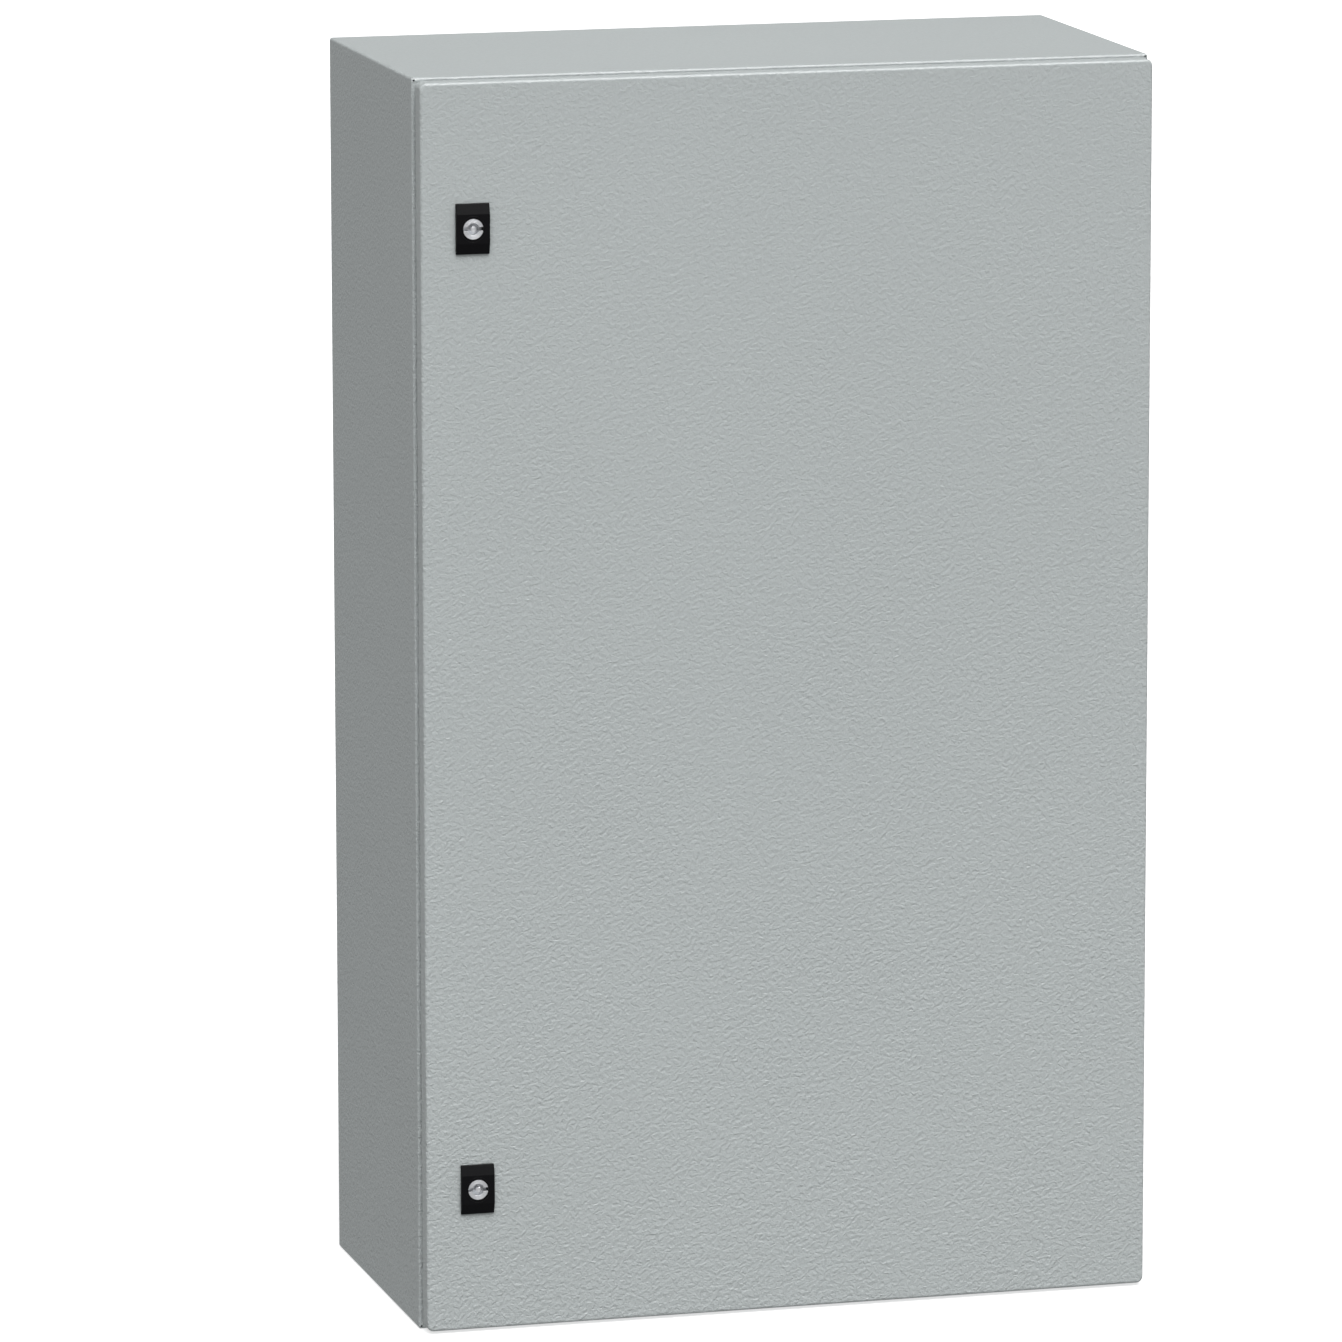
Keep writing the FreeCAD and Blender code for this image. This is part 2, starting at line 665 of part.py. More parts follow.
def make_bracket(name, up):
    """The fixed half of a concealed hinge: a foot on the shoulder, an upright beside the rim and
    an arm that passes close behind the door to the knuckle, clear of the door's turned edge."""
    bracket = new_body(name)
    left = "(overall_width / 2 - gutter_width + foot_from_rim)"
    right = "(overall_width / 2 - foot_from_side)"
    foot_front = f"(0 - {SHOULDER_AHEAD} - foot_sheet)"
    foot = sketch_on(bracket, "XY")
    polygon(
        foot,
        [
            (left, foot_front),
            (right, foot_front),
            (right, f"0 - {SHOULDER_AHEAD}"),
            (left, f"0 - {SHOULDER_AHEAD}"),
        ],
    )
    pad(bracket, foot, "leaf_height", both_ways=True)

    riser_left = "(overall_width / 2 - gutter_width + riser_from_rim)"
    riser_right = "(overall_width / 2 - gutter_width + riser_from_rim + riser_sheet)"
    arm_front = f"(0 - {PIVOT_AHEAD} - knuckle_radius)"
    arm_back = f"(0 - {PIVOT_AHEAD} - knuckle_radius + arm_sheet)"
    arm = sketch_on(bracket, "XY")
    polygon(
        arm,
        [
            (riser_left, foot_front),
            (riser_left, arm_front),
            (PIVOT_ACROSS, arm_front),
            (PIVOT_ACROSS, arm_back),
            (riser_right, arm_back),
            (riser_right, foot_front),
        ],
    )
    armed = pad(bracket, arm, "bracket_height", both_ways=True)
    front = armed.Shape.BoundBox.YMin
    side = half("overall_width") - sheet.gutter_width + sheet.riser_from_rim
    fillet(
        bracket,
        armed,
        lambda e: runs_along(e, V(0, 0, 1)) and flat_in(e, "y", front) and flat_in(e, "x", side),
        "arm_round",
    )
    knuckle = sketch_on(bracket, "XY")
    circle(knuckle, "knuckle_radius", PIVOT_ACROSS, f"0 - {PIVOT_AHEAD}")
    pad(bracket, knuckle, "bracket_height", both_ways=True)
    bore = sketch_on(bracket, "XY")
    circle(bore, "pin_radius", PIVOT_ACROSS, f"0 - {PIVOT_AHEAD}")
    pocket(bracket, bore, "leaf_height", both_ways=True)

    holes = sketch_on(bracket, "XZ", out=SHOULDER_AHEAD)
    for z in (-1, 1):
        circle(
            holes,
            "hinge_screw_radius + screw_play",
            HINGE_SCREW_ACROSS,
            f"{z} * hinge_screw_pitch / 2",
        )
    pocket(bracket, holes, "2 * foot_sheet", reverse=True)
    place(bracket, up=up)
    keep(bracket, name)


def make_leaf(name, up):
    """The moving half: two lugs and a strip between them, welded into the corner of the door."""
    leaf = new_body(name)
    lugs = sketch_on(leaf, "XY")
    corner_across = f"({PIVOT_ACROSS} + pivot_inset)"
    corner_ahead = f"(0 - {PIVOT_AHEAD} - pivot_inset)"
    polygon(
        lugs,
        [
            (f"{PIVOT_ACROSS} - knuckle_radius", corner_ahead),
            (corner_across, corner_ahead),
            (corner_across, f"knuckle_radius - {PIVOT_AHEAD}"),
            (PIVOT_ACROSS, f"knuckle_radius - {PIVOT_AHEAD}"),
            (PIVOT_ACROSS, f"0 - {PIVOT_AHEAD}"),
            (f"{PIVOT_ACROSS} - knuckle_radius", f"0 - {PIVOT_AHEAD}"),
        ],
    )
    block = pad(leaf, lugs, "leaf_height", both_ways=True)
    right = block.Shape.BoundBox.XMax
    front = block.Shape.BoundBox.YMin
    fillet(
        leaf,
        block,
        lambda e: runs_along(e, V(0, 0, 1)) and flat_in(e, "x", right) and flat_in(e, "y", front),
        "1.5 * (door_bend - door_sheet)",
    )
    knuckle = sketch_on(leaf, "XY")
    circle(knuckle, "knuckle_radius", PIVOT_ACROSS, f"0 - {PIVOT_AHEAD}")
    pad(leaf, knuckle, "leaf_height", both_ways=True)

    gap_height = "bracket_height + 2 * knuckle_gap"
    notch = sketch_on(leaf, "XY")
    circle(notch, "knuckle_room", PIVOT_ACROSS, f"0 - {PIVOT_AHEAD}")
    pocket(leaf, notch, gap_height, both_ways=True)
    arm_way = sketch_on(leaf, "XY")
    polygon(
        arm_way,
        [
            (f"{PIVOT_ACROSS} - knuckle_room", f"0 - {PIVOT_AHEAD} - knuckle_room"),
            (PIVOT_ACROSS, f"0 - {PIVOT_AHEAD} - knuckle_room"),
            (PIVOT_ACROSS, f"knuckle_room - {PIVOT_AHEAD}"),
            (f"{PIVOT_ACROSS} - knuckle_room", f"knuckle_room - {PIVOT_AHEAD}"),
        ],
    )
    pocket(leaf, arm_way, gap_height, both_ways=True)
    bore = sketch_on(leaf, "XY")
    circle(bore, "pin_radius + pin_play", PIVOT_ACROSS, f"0 - {PIVOT_AHEAD}")
    pocket(leaf, bore, "2 * leaf_height", both_ways=True)
    place(leaf, up=up)
    keep(leaf, name)


def make_pin(name, up):
    """A headed pin, pressed into the bracket's knuckle and running in the leaf's lugs."""
    back = f"0 - {PIVOT_AHEAD}"
    top = f"{up} + leaf_height / 2 + knuckle_gap"
    shank = cylinder(
        name + "_shank",
        "pin_radius",
        "leaf_height + 2 * knuckle_gap",
        (PIVOT_ACROSS, back, f"{up} - leaf_height / 2 - knuckle_gap"),
        "up",
    )
    head = cylinder(
        name + "_head", "pin_head_radius", "pin_head_height", (PIVOT_ACROSS, back, top), "up"
    )
    keep(together(name, [shank, head]), name)


def make_hinges():
    """Three alike, each fixed from inside by two screws through the shoulder."""
    screws = []
    behind = f"body_sheet - {SHOULDER_AHEAD}"
    for place_name, up in HINGE_HEIGHTS.items():
        make_bracket("hinge_bracket_" + place_name, up)
        make_leaf("hinge_leaf_" + place_name, up)
        make_pin("hinge_pin_" + place_name, up)
        for word, z in (("top", 1), ("bottom", -1)):
            spot = (HINGE_SCREW_ACROSS, behind, f"{up} + {z} * hinge_screw_pitch / 2")
            name = f"hinge_screw_{place_name}_{word}"
            shank = cylinder(
                name + "_shank", "hinge_screw_radius", "body_sheet + foot_sheet", spot, "forwards"
            )
            head = cylinder(
                name + "_head", "2 * hinge_screw_radius", "1.2 * hinge_screw_radius", spot, "backwards"
            )
            screws += [shank, head]
    keep(together("hinge_screws", screws), "hinge_screws")


# ---------------------------------------------------------------- door


def make_door_panel():
    """A blank pan of sheet, its edges turned back all round, with two lock holes."""
    door = new_body("door_panel")
    outline = sketch_on(door, "XZ", out="overall_depth - door_flange")
    rectangle(outline, DOOR_WIDTH, DOOR_TALL)
    block = pad(door, outline, "door_flange")
    corners = fillet(door, block, lambda e: runs_along(e, V(0, 1, 0)), "door_corner")
    face = corners.Shape.BoundBox.YMin
    fillet(door, corners, lambda e: flat_in(e, "y", face), "door_bend")
    hollow = sketch_on(door, "XZ", out="overall_depth - door_flange")
    rectangle(hollow, f"({DOOR_WIDTH} - 2 * door_sheet)", f"({DOOR_TALL} - 2 * door_sheet)")
    hollowed = pocket(door, hollow, "door_flange - door_sheet", reverse=True)
    inside = half("overall_width") - sheet.door_inset - sheet.door_sheet
    inner_corners = fillet(
        door,
        hollowed,
        lambda e: runs_along(e, V(0, 1, 0)) and near(abs(e.BoundBox.XMin), inside),
        "door_corner - door_sheet",
    )
    fillet(
        door,
        inner_corners,
        lambda e: flat_in(e, "y", face + sheet.door_sheet),
        "door_bend - door_sheet",
    )
    locks = sketch_on(door, "XZ", out="overall_depth")
    for height in LOCK_HEIGHTS.values():
        circle(locks, "housing_room", LOCK_ACROSS, height)
    pocket(door, locks, "2 * door_sheet")
    keep(door, "door_panel")


def make_door_gasket():
    """A foamed seal round the back of the door that meets the rim's edge."""
    gasket = new_body("door_gasket")
    outline = sketch_on(gasket, "XZ", out=f"{SHOULDER_AHEAD} + rim_height + gasket_gap")
    for way in (1, -1):
        rectangle(
            outline,
            f"({RIM_WIDTH} - body_sheet + {way} * gasket_width)",
            f"({RIM_TALL} - body_sheet + {way} * gasket_width)",
        )
    block = pad(gasket, outline, "door_stand - rim_height - gasket_gap - door_sheet")
    middle = half("overall_width") - sheet.gutter_width - sheet.body_sheet / 2
    outside = middle + sheet.gasket_width / 2
    outer_corners = fillet(
        gasket,
        block,
        lambda e: runs_along(e, V(0, 1, 0)) and near(abs(e.BoundBox.XMin), outside),
        "rim_corner + gasket_width / 2",
    )
    inner_corners = fillet(
        gasket,
        outer_corners,
        lambda e: runs_along(e, V(0, 1, 0))
        and near(abs(e.BoundBox.XMin), outside - sheet.gasket_width),
        "rim_corner - gasket_width / 2",
    )
    back = inner_corners.Shape.BoundBox.YMax
    fillet(gasket, inner_corners, lambda e: flat_in(e, "y", back), "gasket_crown")
    keep(gasket, "door_gasket")


def make_door_rail(name, side):
    """A top-hat rail with a row of holes, spot-welded upright behind the door."""
    rail = new_body(name)
    middle = f"{side} * {RAIL_ACROSS}"
    door_back = f"0 - {DOOR_BACK_AHEAD}"
    crown = f"rail_depth - {DOOR_BACK_AHEAD}"
    wide = f"{middle} - rail_width / 2"
    far = f"{middle} + rail_width / 2"
    profile = sketch_on(rail, "XY")
    polygon(
        profile,
        [
            (f"{wide} - rail_foot", door_back),
            (f"{wide} + rail_sheet", door_back),
            (f"{wide} + rail_sheet", f"{crown} - rail_sheet"),
            (f"{far} - rail_sheet", f"{crown} - rail_sheet"),
            (f"{far} - rail_sheet", door_back),
            (f"{far} + rail_foot", door_back),
            (f"{far} + rail_foot", f"{door_back} + rail_sheet"),
            (far, f"{door_back} + rail_sheet"),
            (far, crown),
            (wide, crown),
            (wide, f"{door_back} + rail_sheet"),
            (f"{wide} - rail_foot", f"{door_back} + rail_sheet"),
        ],
    )
    bar = pad(rail, profile, "overall_height - 2 * rail_end_gap", both_ways=True)
    back = bar.Shape.BoundBox.YMax
    fillet(
        rail,
        bar,
        lambda e: runs_along(e, V(0, 0, 1)) and flat_in(e, "y", back),
        "rail_sheet",
    )
    hole = sketch_on(
        rail,
        "XZ",
        across=middle,
        up="rail_end_gap + rail_hole_pitch - overall_height / 2",
        out=f"{DOOR_BACK_AHEAD} - rail_depth",
    )
    circle(hole, "rail_hole_radius")
    first = pocket(rail, hole, "2 * rail_sheet", reverse=True)
    holes = rail.newObject("PartDesign::LinearPattern", name + "_holes")
    holes.Originals = [first]
    holes.Direction = (rail.Origin.OriginFeatures[2], [""])
    span = "overall_height - 2 * rail_end_gap - 2 * rail_hole_pitch"
    holes.setExpression("Length", driven(f"floor(({span}) / rail_hole_pitch) * rail_hole_pitch"))
    holes.setExpression("Occurrences", driven(f"floor(({span}) / rail_hole_pitch) + 1"))
    rail.Tip = holes
    doc.recompute()
    keep(rail, name)


def make_door_earth():
    """The earthing stud low on the door's back, with its washer and nut."""
    across = "overall_width / 2 - gutter_width - door_earth_from_rim"
    up = "earth_from_end - overall_height / 2"
    root = (across, f"0 - {DOOR_BACK_AHEAD}", up)
    stud = cylinder("door_earth_stud", "door_stud_radius", "earth_stud_length", root, "backwards")
    keep(stud, "door_earth_stud")
    washer = ring(
        "door_earth_washer",
        "door_washer_radius",
        "door_stud_radius + washer_play",
        "washer_sheet",
        root,
        "backwards",
    )
    keep(washer, "door_earth_washer")
    seat = (across, f"washer_sheet - {DOOR_BACK_AHEAD}", up)
    held = nut(
        "door_earth_nut",
        "door_nut_flats",
        "door_stud_radius + nut_play",
        "door_nut_height",
        seat,
        "backwards",
    )
    keep(held, "door_earth_nut")


# ---------------------------------------------------------------- locks, drawn about their own axis


def place_lock(piece, up):
    place(piece, LOCK_ACROSS, "0 - overall_depth", up)


def make_escutcheon(name, up):
    """A raised plate with a flat middle and sloped ends."""
    plate = new_body(name)
    profile = sketch_on(plate, "YZ")
    seat = "0 - lock_seal"
    polygon(
        profile,
        [
            (seat, "0 - escutcheon_height / 2"),
            (seat, "escutcheon_height / 2"),
            ("0 - escutcheon_edge", "escutcheon_height / 2"),
            ("0 - escutcheon_stand", "escutcheon_flat / 2"),
            ("0 - escutcheon_stand", "0 - escutcheon_flat / 2"),
            ("0 - escutcheon_edge", "0 - escutcheon_height / 2"),
        ],
    )
    block = pad(plate, profile, "escutcheon_width", both_ways=True)
    fillet(plate, block, lambda e: not flat_in(e, "y", -sheet.lock_seal), "escutcheon_round")
    well = sketch_on(plate, "XZ", out="escutcheon_stand")
    circle(well, "collar_radius + turn_play")
    pocket(plate, well, "collar_height")
    hole = sketch_on(plate, "XZ", out="escutcheon_stand")
    circle(hole, "housing_room")
    pocket(plate, hole, "2 * escutcheon_stand")
    place_lock(plate, up)
    keep(plate, name)


def make_lock_seal(name, up):
    """A thin seal between the escutcheon and the door."""
    seal = new_body(name)
    outline = sketch_on(seal, "XZ")
    rectangle(
        outline,
        "(escutcheon_width - 2 * lock_seal_inset)",
        "(escutcheon_height - 2 * lock_seal_inset)",
    )
    circle(outline, "housing_room")
    pad(seal, outline, "lock_seal")
    place_lock(seal, up)
    keep(seal, name)


def make_housing(name, up):
    """The fixed barrel of the lock, through the escutcheon and the door."""
    housing = new_body(name)
    barrel = sketch_on(housing, "XZ", out=HOUSING_OUT)
    circle(barrel, "housing_radius")
    pad(housing, barrel, "housing_reach + escutcheon_stand")
    collar = sketch_on(housing, "XZ", out="escutcheon_stand - collar_height")
    circle(collar, "collar_radius")
    pad(housing, collar, "collar_height")
    well = sketch_on(housing, "XZ", out="escutcheon_stand")
    circle(well, "insert_radius + turn_play")
    pocket(housing, well, "escutcheon_stand - insert_stand + insert_head + turn_play")
    bore = sketch_on(housing, "XZ", out="escutcheon_stand")
    circle(bore, "spindle_radius + turn_play")
    pocket(housing, bore, "escutcheon_stand + 2 * housing_reach")
    place_lock(housing, up)
    keep(housing, name)


def make_insert(name, up):
    """The part that the key turns: a face with a key socket, a spindle and a square end."""
    insert = new_body(name)
    square = sketch_on(insert, "XZ", out="0 - cam_from_face - cam_sheet")
    rectangle(square, "cam_square", "cam_square")
    pad(insert, square, "cam_sheet")
    spindle = sketch_on(insert, "XZ", out="0 - cam_from_face")
    circle(spindle, "spindle_radius")
    pad(insert, spindle, "cam_from_face + insert_stand - insert_head / 2")
    head = sketch_on(insert, "XZ", out="insert_stand - insert_head")
    circle(head, "insert_radius")
    pad(insert, head, "insert_head")

    socket = sketch_on(insert, "XZ", out="insert_stand")
    circle(socket, "socket_radius")
    circle(socket, "key_pin_radius")
    pocket(insert, socket, "socket_depth")
    for side in (-1, 1):
        inner = "(key_pin_radius + socket_radius) / 2"
        wing = sketch_on(insert, "XZ", across=f"{side} * ({inner} + wing_reach) / 2", out="insert_stand")
        rectangle(wing, f"(wing_reach - {inner})", "wing_width")
        pocket(insert, wing, "wing_depth")
    tapped = sketch_on(insert, "XZ", out="0 - cam_from_face - cam_sheet")
    circle(tapped, "cam_screw_radius + screw_play")
    pocket(insert, tapped, "cam_screw_reach + screw_play", reverse=True)
    place_lock(insert, up)
    keep(insert, name)


def make_cam(name, up):
    """The flat tongue that turns behind the shoulder. It hangs down while the lock is open."""
    cam = new_body(name)
    tongue = sketch_on(cam, "XZ", up="(cam_heel - cam_reach) / 2", out="0 - cam_from_face - cam_sheet")
    rectangle(tongue, "cam_width", "(cam_heel + cam_reach)")
    blank = pad(cam, tongue, "cam_sheet")
    fillet(cam, blank, lambda e: runs_along(e, V(0, 1, 0)), "cam_width / 3")
    square = sketch_on(cam, "XZ", out="0 - cam_from_face")
    rectangle(square, "(cam_square + 2 * square_play)", "(cam_square + 2 * square_play)")
    pocket(cam, square, "2 * cam_sheet")
    place_lock(cam, up)
    keep(cam, name)


def make_lock_fixings(prefix, up):
    """The nut behind the door and the screw that holds the cam."""
    nut_seat = (LOCK_ACROSS, f"0 - {DOOR_BACK_AHEAD}", up)
    held = nut(
        prefix + "_nut",
        "lock_nut_flats",
        "housing_radius + nut_play",
        "lock_nut_height",
        nut_seat,
        "backwards",
    )
    keep(held, prefix + "_nut")
    cam_back = "cam_from_face + cam_sheet - overall_depth"
    shank = cylinder(
        prefix + "_screw_shank",
        "cam_screw_radius",
        "cam_screw_reach",
        (LOCK_ACROSS, f"{cam_back} - cam_screw_reach", up),
        "backwards",
    )
    head = cylinder(
        prefix + "_screw_head",
        "cam_head_radius",
        "cam_head_height",
        (LOCK_ACROSS, cam_back, up),
        "backwards",
    )
    keep(together(prefix + "_cam_screw", [shank, head]), prefix + "_cam_screw")


def make_locks():
    for place_name, up in LOCK_HEIGHTS.items():
        prefix = "lock_" + place_name
        make_escutcheon(prefix + "_escutcheon", up)
        make_lock_seal(prefix + "_seal", up)
        make_housing(prefix + "_housing", up)
        make_insert(prefix + "_insert", up)
        make_cam(prefix + "_cam", up)
        make_lock_fixings(prefix, up)


# ---------------------------------------------------------------- build, check and write

make_body_wrap()
make_back_panel()
make_gland()
make_mounting_plate()
make_plate_fixings()
make_body_earth()
make_hinges()
make_door_panel()
make_door_gasket()
make_door_rail("door_rail_left", -1)
make_door_rail("door_rail_right", 1)
make_door_earth()
make_locks()
doc.recompute()

for thing in doc.Objects:
    if "Invalid" in thing.State or "Error" in thing.State:
        raise RuntimeError(f"{thing.Name} failed: {thing.State}")
for node in nodes:
    if node.Shape.isNull() or not node.Shape.isValid() or not node.Shape.Solids:
        raise RuntimeError(f"{node.Label} has no sound solid")
for node in nodes:
    node.Shape.exportStep(f"parts/{node.Label}.step")
    print(f"{node.Label}: {len(node.Shape.Solids)} solids, {node.Shape.Volume:.0f} mm3")
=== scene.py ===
# %% [markdown]
# # A wall-mounting switchboard cabinet
# The real thing is a box of folded sheet steel with a blank door, powder coated in light grey, with two
# quarter-turn locks and a galvanised plate inside for the electrical gear. The folded steel, the hinges
# and the locks come in as finished solids at their true size. This lesson gives each of them its finish,
# and models by hand the small things whose look depends on fine shapes: threads, nuts, screw heads and
# the foam seals.

# %% Load the finished solids
import math

import bmesh
import bpy
from mathutils import Matrix, Vector


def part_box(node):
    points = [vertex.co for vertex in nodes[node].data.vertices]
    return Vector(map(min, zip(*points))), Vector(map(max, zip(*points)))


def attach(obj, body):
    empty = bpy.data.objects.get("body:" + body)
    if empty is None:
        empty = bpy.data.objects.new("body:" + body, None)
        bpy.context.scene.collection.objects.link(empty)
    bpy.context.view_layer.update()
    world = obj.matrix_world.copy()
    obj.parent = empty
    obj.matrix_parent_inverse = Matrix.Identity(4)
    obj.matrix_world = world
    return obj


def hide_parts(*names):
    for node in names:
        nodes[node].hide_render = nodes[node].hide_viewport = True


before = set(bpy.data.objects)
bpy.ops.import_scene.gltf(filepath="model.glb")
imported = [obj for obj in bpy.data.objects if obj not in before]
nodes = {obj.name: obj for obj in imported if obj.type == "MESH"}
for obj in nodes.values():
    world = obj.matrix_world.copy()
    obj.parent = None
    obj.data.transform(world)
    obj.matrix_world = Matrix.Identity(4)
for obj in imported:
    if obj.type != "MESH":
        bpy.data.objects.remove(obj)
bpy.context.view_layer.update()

MM = 0.001

# %% [markdown]
# ## Reading places off the solids
# Every new piece has to sit on the steel it belongs to. Its place could be typed in as numbers, but those
# would go wrong as soon as a size changed. It is read off the boxes of the solids instead.


# %% Boxes and middles of the solids
def middle_of(name):
    low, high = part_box(name)
    return (Vector(low) + Vector(high)) / 2


def size_of(name):
    low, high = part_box(name)
    return Vector(high) - Vector(low)


body_low, body_high = (Vector(corner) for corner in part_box("body_wrap"))
print("door:", [round(v / MM, 1) for v in size_of("door_panel")], "mm")

# %% [markdown]
# ## The camera
# The cabinet is seen from in front, a little to the left and above, through a long lens that keeps its
# edges nearly parallel. The camera could be aimed by hand. It stands on a measured spot and is turned by
# two angles instead, so that the view can be checked. The shift slides the picture without tilting it.

# %% Camera
view_turn = math.radians(-15.493)
view_rise = math.radians(10.564)
camera_spot = Vector((-1.9845, body_high.y - 7.3001, 1.3769))
long_lens = 250.873
slide_across = -0.04851
slide_up = 0.00082
looking = Vector((
    -math.sin(view_turn) * math.cos(view_rise),
    math.cos(view_turn) * math.cos(view_rise),
    -math.sin(view_rise),
))
camera_data = bpy.data.cameras.new("camera")
camera_data.sensor_width = 36.0
camera_data.lens = long_lens
camera_data.shift_x = slide_across
camera_data.shift_y = slide_up
camera_data.clip_end = 100.0
camera = bpy.data.objects.new("camera", camera_data)
camera.location = camera_spot
camera.rotation_mode = "QUATERNION"
camera.rotation_quaternion = looking.to_track_quat("-Z", "Y")
bpy.context.scene.collection.objects.link(camera)
bpy.context.scene.camera = camera
print("camera:", round(camera_data.lens, 1), "mm lens,", round(camera_spot.length, 2), "m away")

# %% [markdown]
# ## The studio
# A plain white room shows sheet steel best: the front is lit evenly from above, the side falls into soft
# shade, and a bright panel overhead runs along the top folds as a thin broken line of light. One lamp
# alone would leave the side black, so the room itself gives a soft light as well.

# %% Room, floor and lamps
bpy.context.scene.view_settings.view_transform = "Standard"
bpy.context.scene.view_settings.look = "None"


def white_room(fill):
    """White where the camera looks past the cabinet, and a soft even fill for everything else."""
    world = bpy.data.worlds.new("white_room")
    world.use_nodes = True
    tree = world.node_tree
    tree.nodes.clear()
    seen = tree.nodes.new("ShaderNodeLightPath")
    plain = tree.nodes.new("ShaderNodeBackground")
    plain.inputs["Color"].default_value = (1.0, 1.0, 1.0, 1.0)
    plain.inputs["Strength"].default_value = 1.0
    soft = tree.nodes.new("ShaderNodeBackground")
    soft.inputs["Color"].default_value = (1.0, 1.0, 1.0, 1.0)
    soft.inputs["Strength"].default_value = fill
    mix = tree.nodes.new("ShaderNodeMixShader")
    out = tree.nodes.new("ShaderNodeOutputWorld")
    tree.links.new(seen.outputs["Is Camera Ray"], mix.inputs["Fac"])
    tree.links.new(soft.outputs[0], mix.inputs[1])
    tree.links.new(plain.outputs[0], mix.inputs[2])
    tree.links.new(mix.outputs[0], out.inputs["Surface"])
    bpy.context.scene.world = world


def soft_sun(name, towards, spread, strength):
    """A far panel of light, as wide in degrees as spread, standing in the direction given."""
    lamp = bpy.data.lights.new(name, "SUN")
    lamp.angle = math.radians(spread)
    lamp.energy = strength
    holder = bpy.data.objects.new(name, lamp)
    holder.rotation_euler = Vector(towards).to_track_quat("Z", "Y").to_euler()
    bpy.context.scene.collection.objects.link(holder)
    return holder


def pale_floor(gap):
    """A wide pale floor just under the cabinet, which lights nothing and only takes a faint shadow."""
    bpy.ops.mesh.primitive_plane_add(size=40.0, location=(0.0, 0.0, body_low.z - gap))
    floor = bpy.context.active_object
    floor.name = "floor"
    paint = bpy.data.materials.new("floor_white")
    paint.use_nodes = True
    shader = paint.node_tree.nodes["Principled BSDF"]
    shader.inputs["Base Color"].default_value = (0.86, 0.86, 0.86, 1.0)
    shader.inputs["Roughness"].default_value = 0.9
    shader.inputs["Emission Color"].default_value = (1.0, 1.0, 1.0, 1.0)
    shader.inputs["Emission Strength"].default_value = 0.55
    floor.data.materials.append(paint)
    floor.visible_diffuse = False
    floor.visible_glossy = False


white_room(fill=0.33)
pale_floor(gap=0.5 * MM)
soft_sun("overhead", towards=(-0.067, -0.562, 0.824), spread=50.0, strength=2.24)
bright_strip = soft_sun("bright_strip", towards=(0.26, -0.50, 0.83), spread=6.0, strength=4.0)
bright_strip.visible_diffuse = False

# %% [markdown]
# ## A small kit for node materials
# Each finish below is a Principled shader with a few textures in front of it. The nodes could be placed in
# the editor one by one. Short helpers do the same here, so that a finish reads as a list of what is in it.
# All patterns use Object coordinates, in metres, so a wrinkle of 3 mm is 3 mm on every piece.


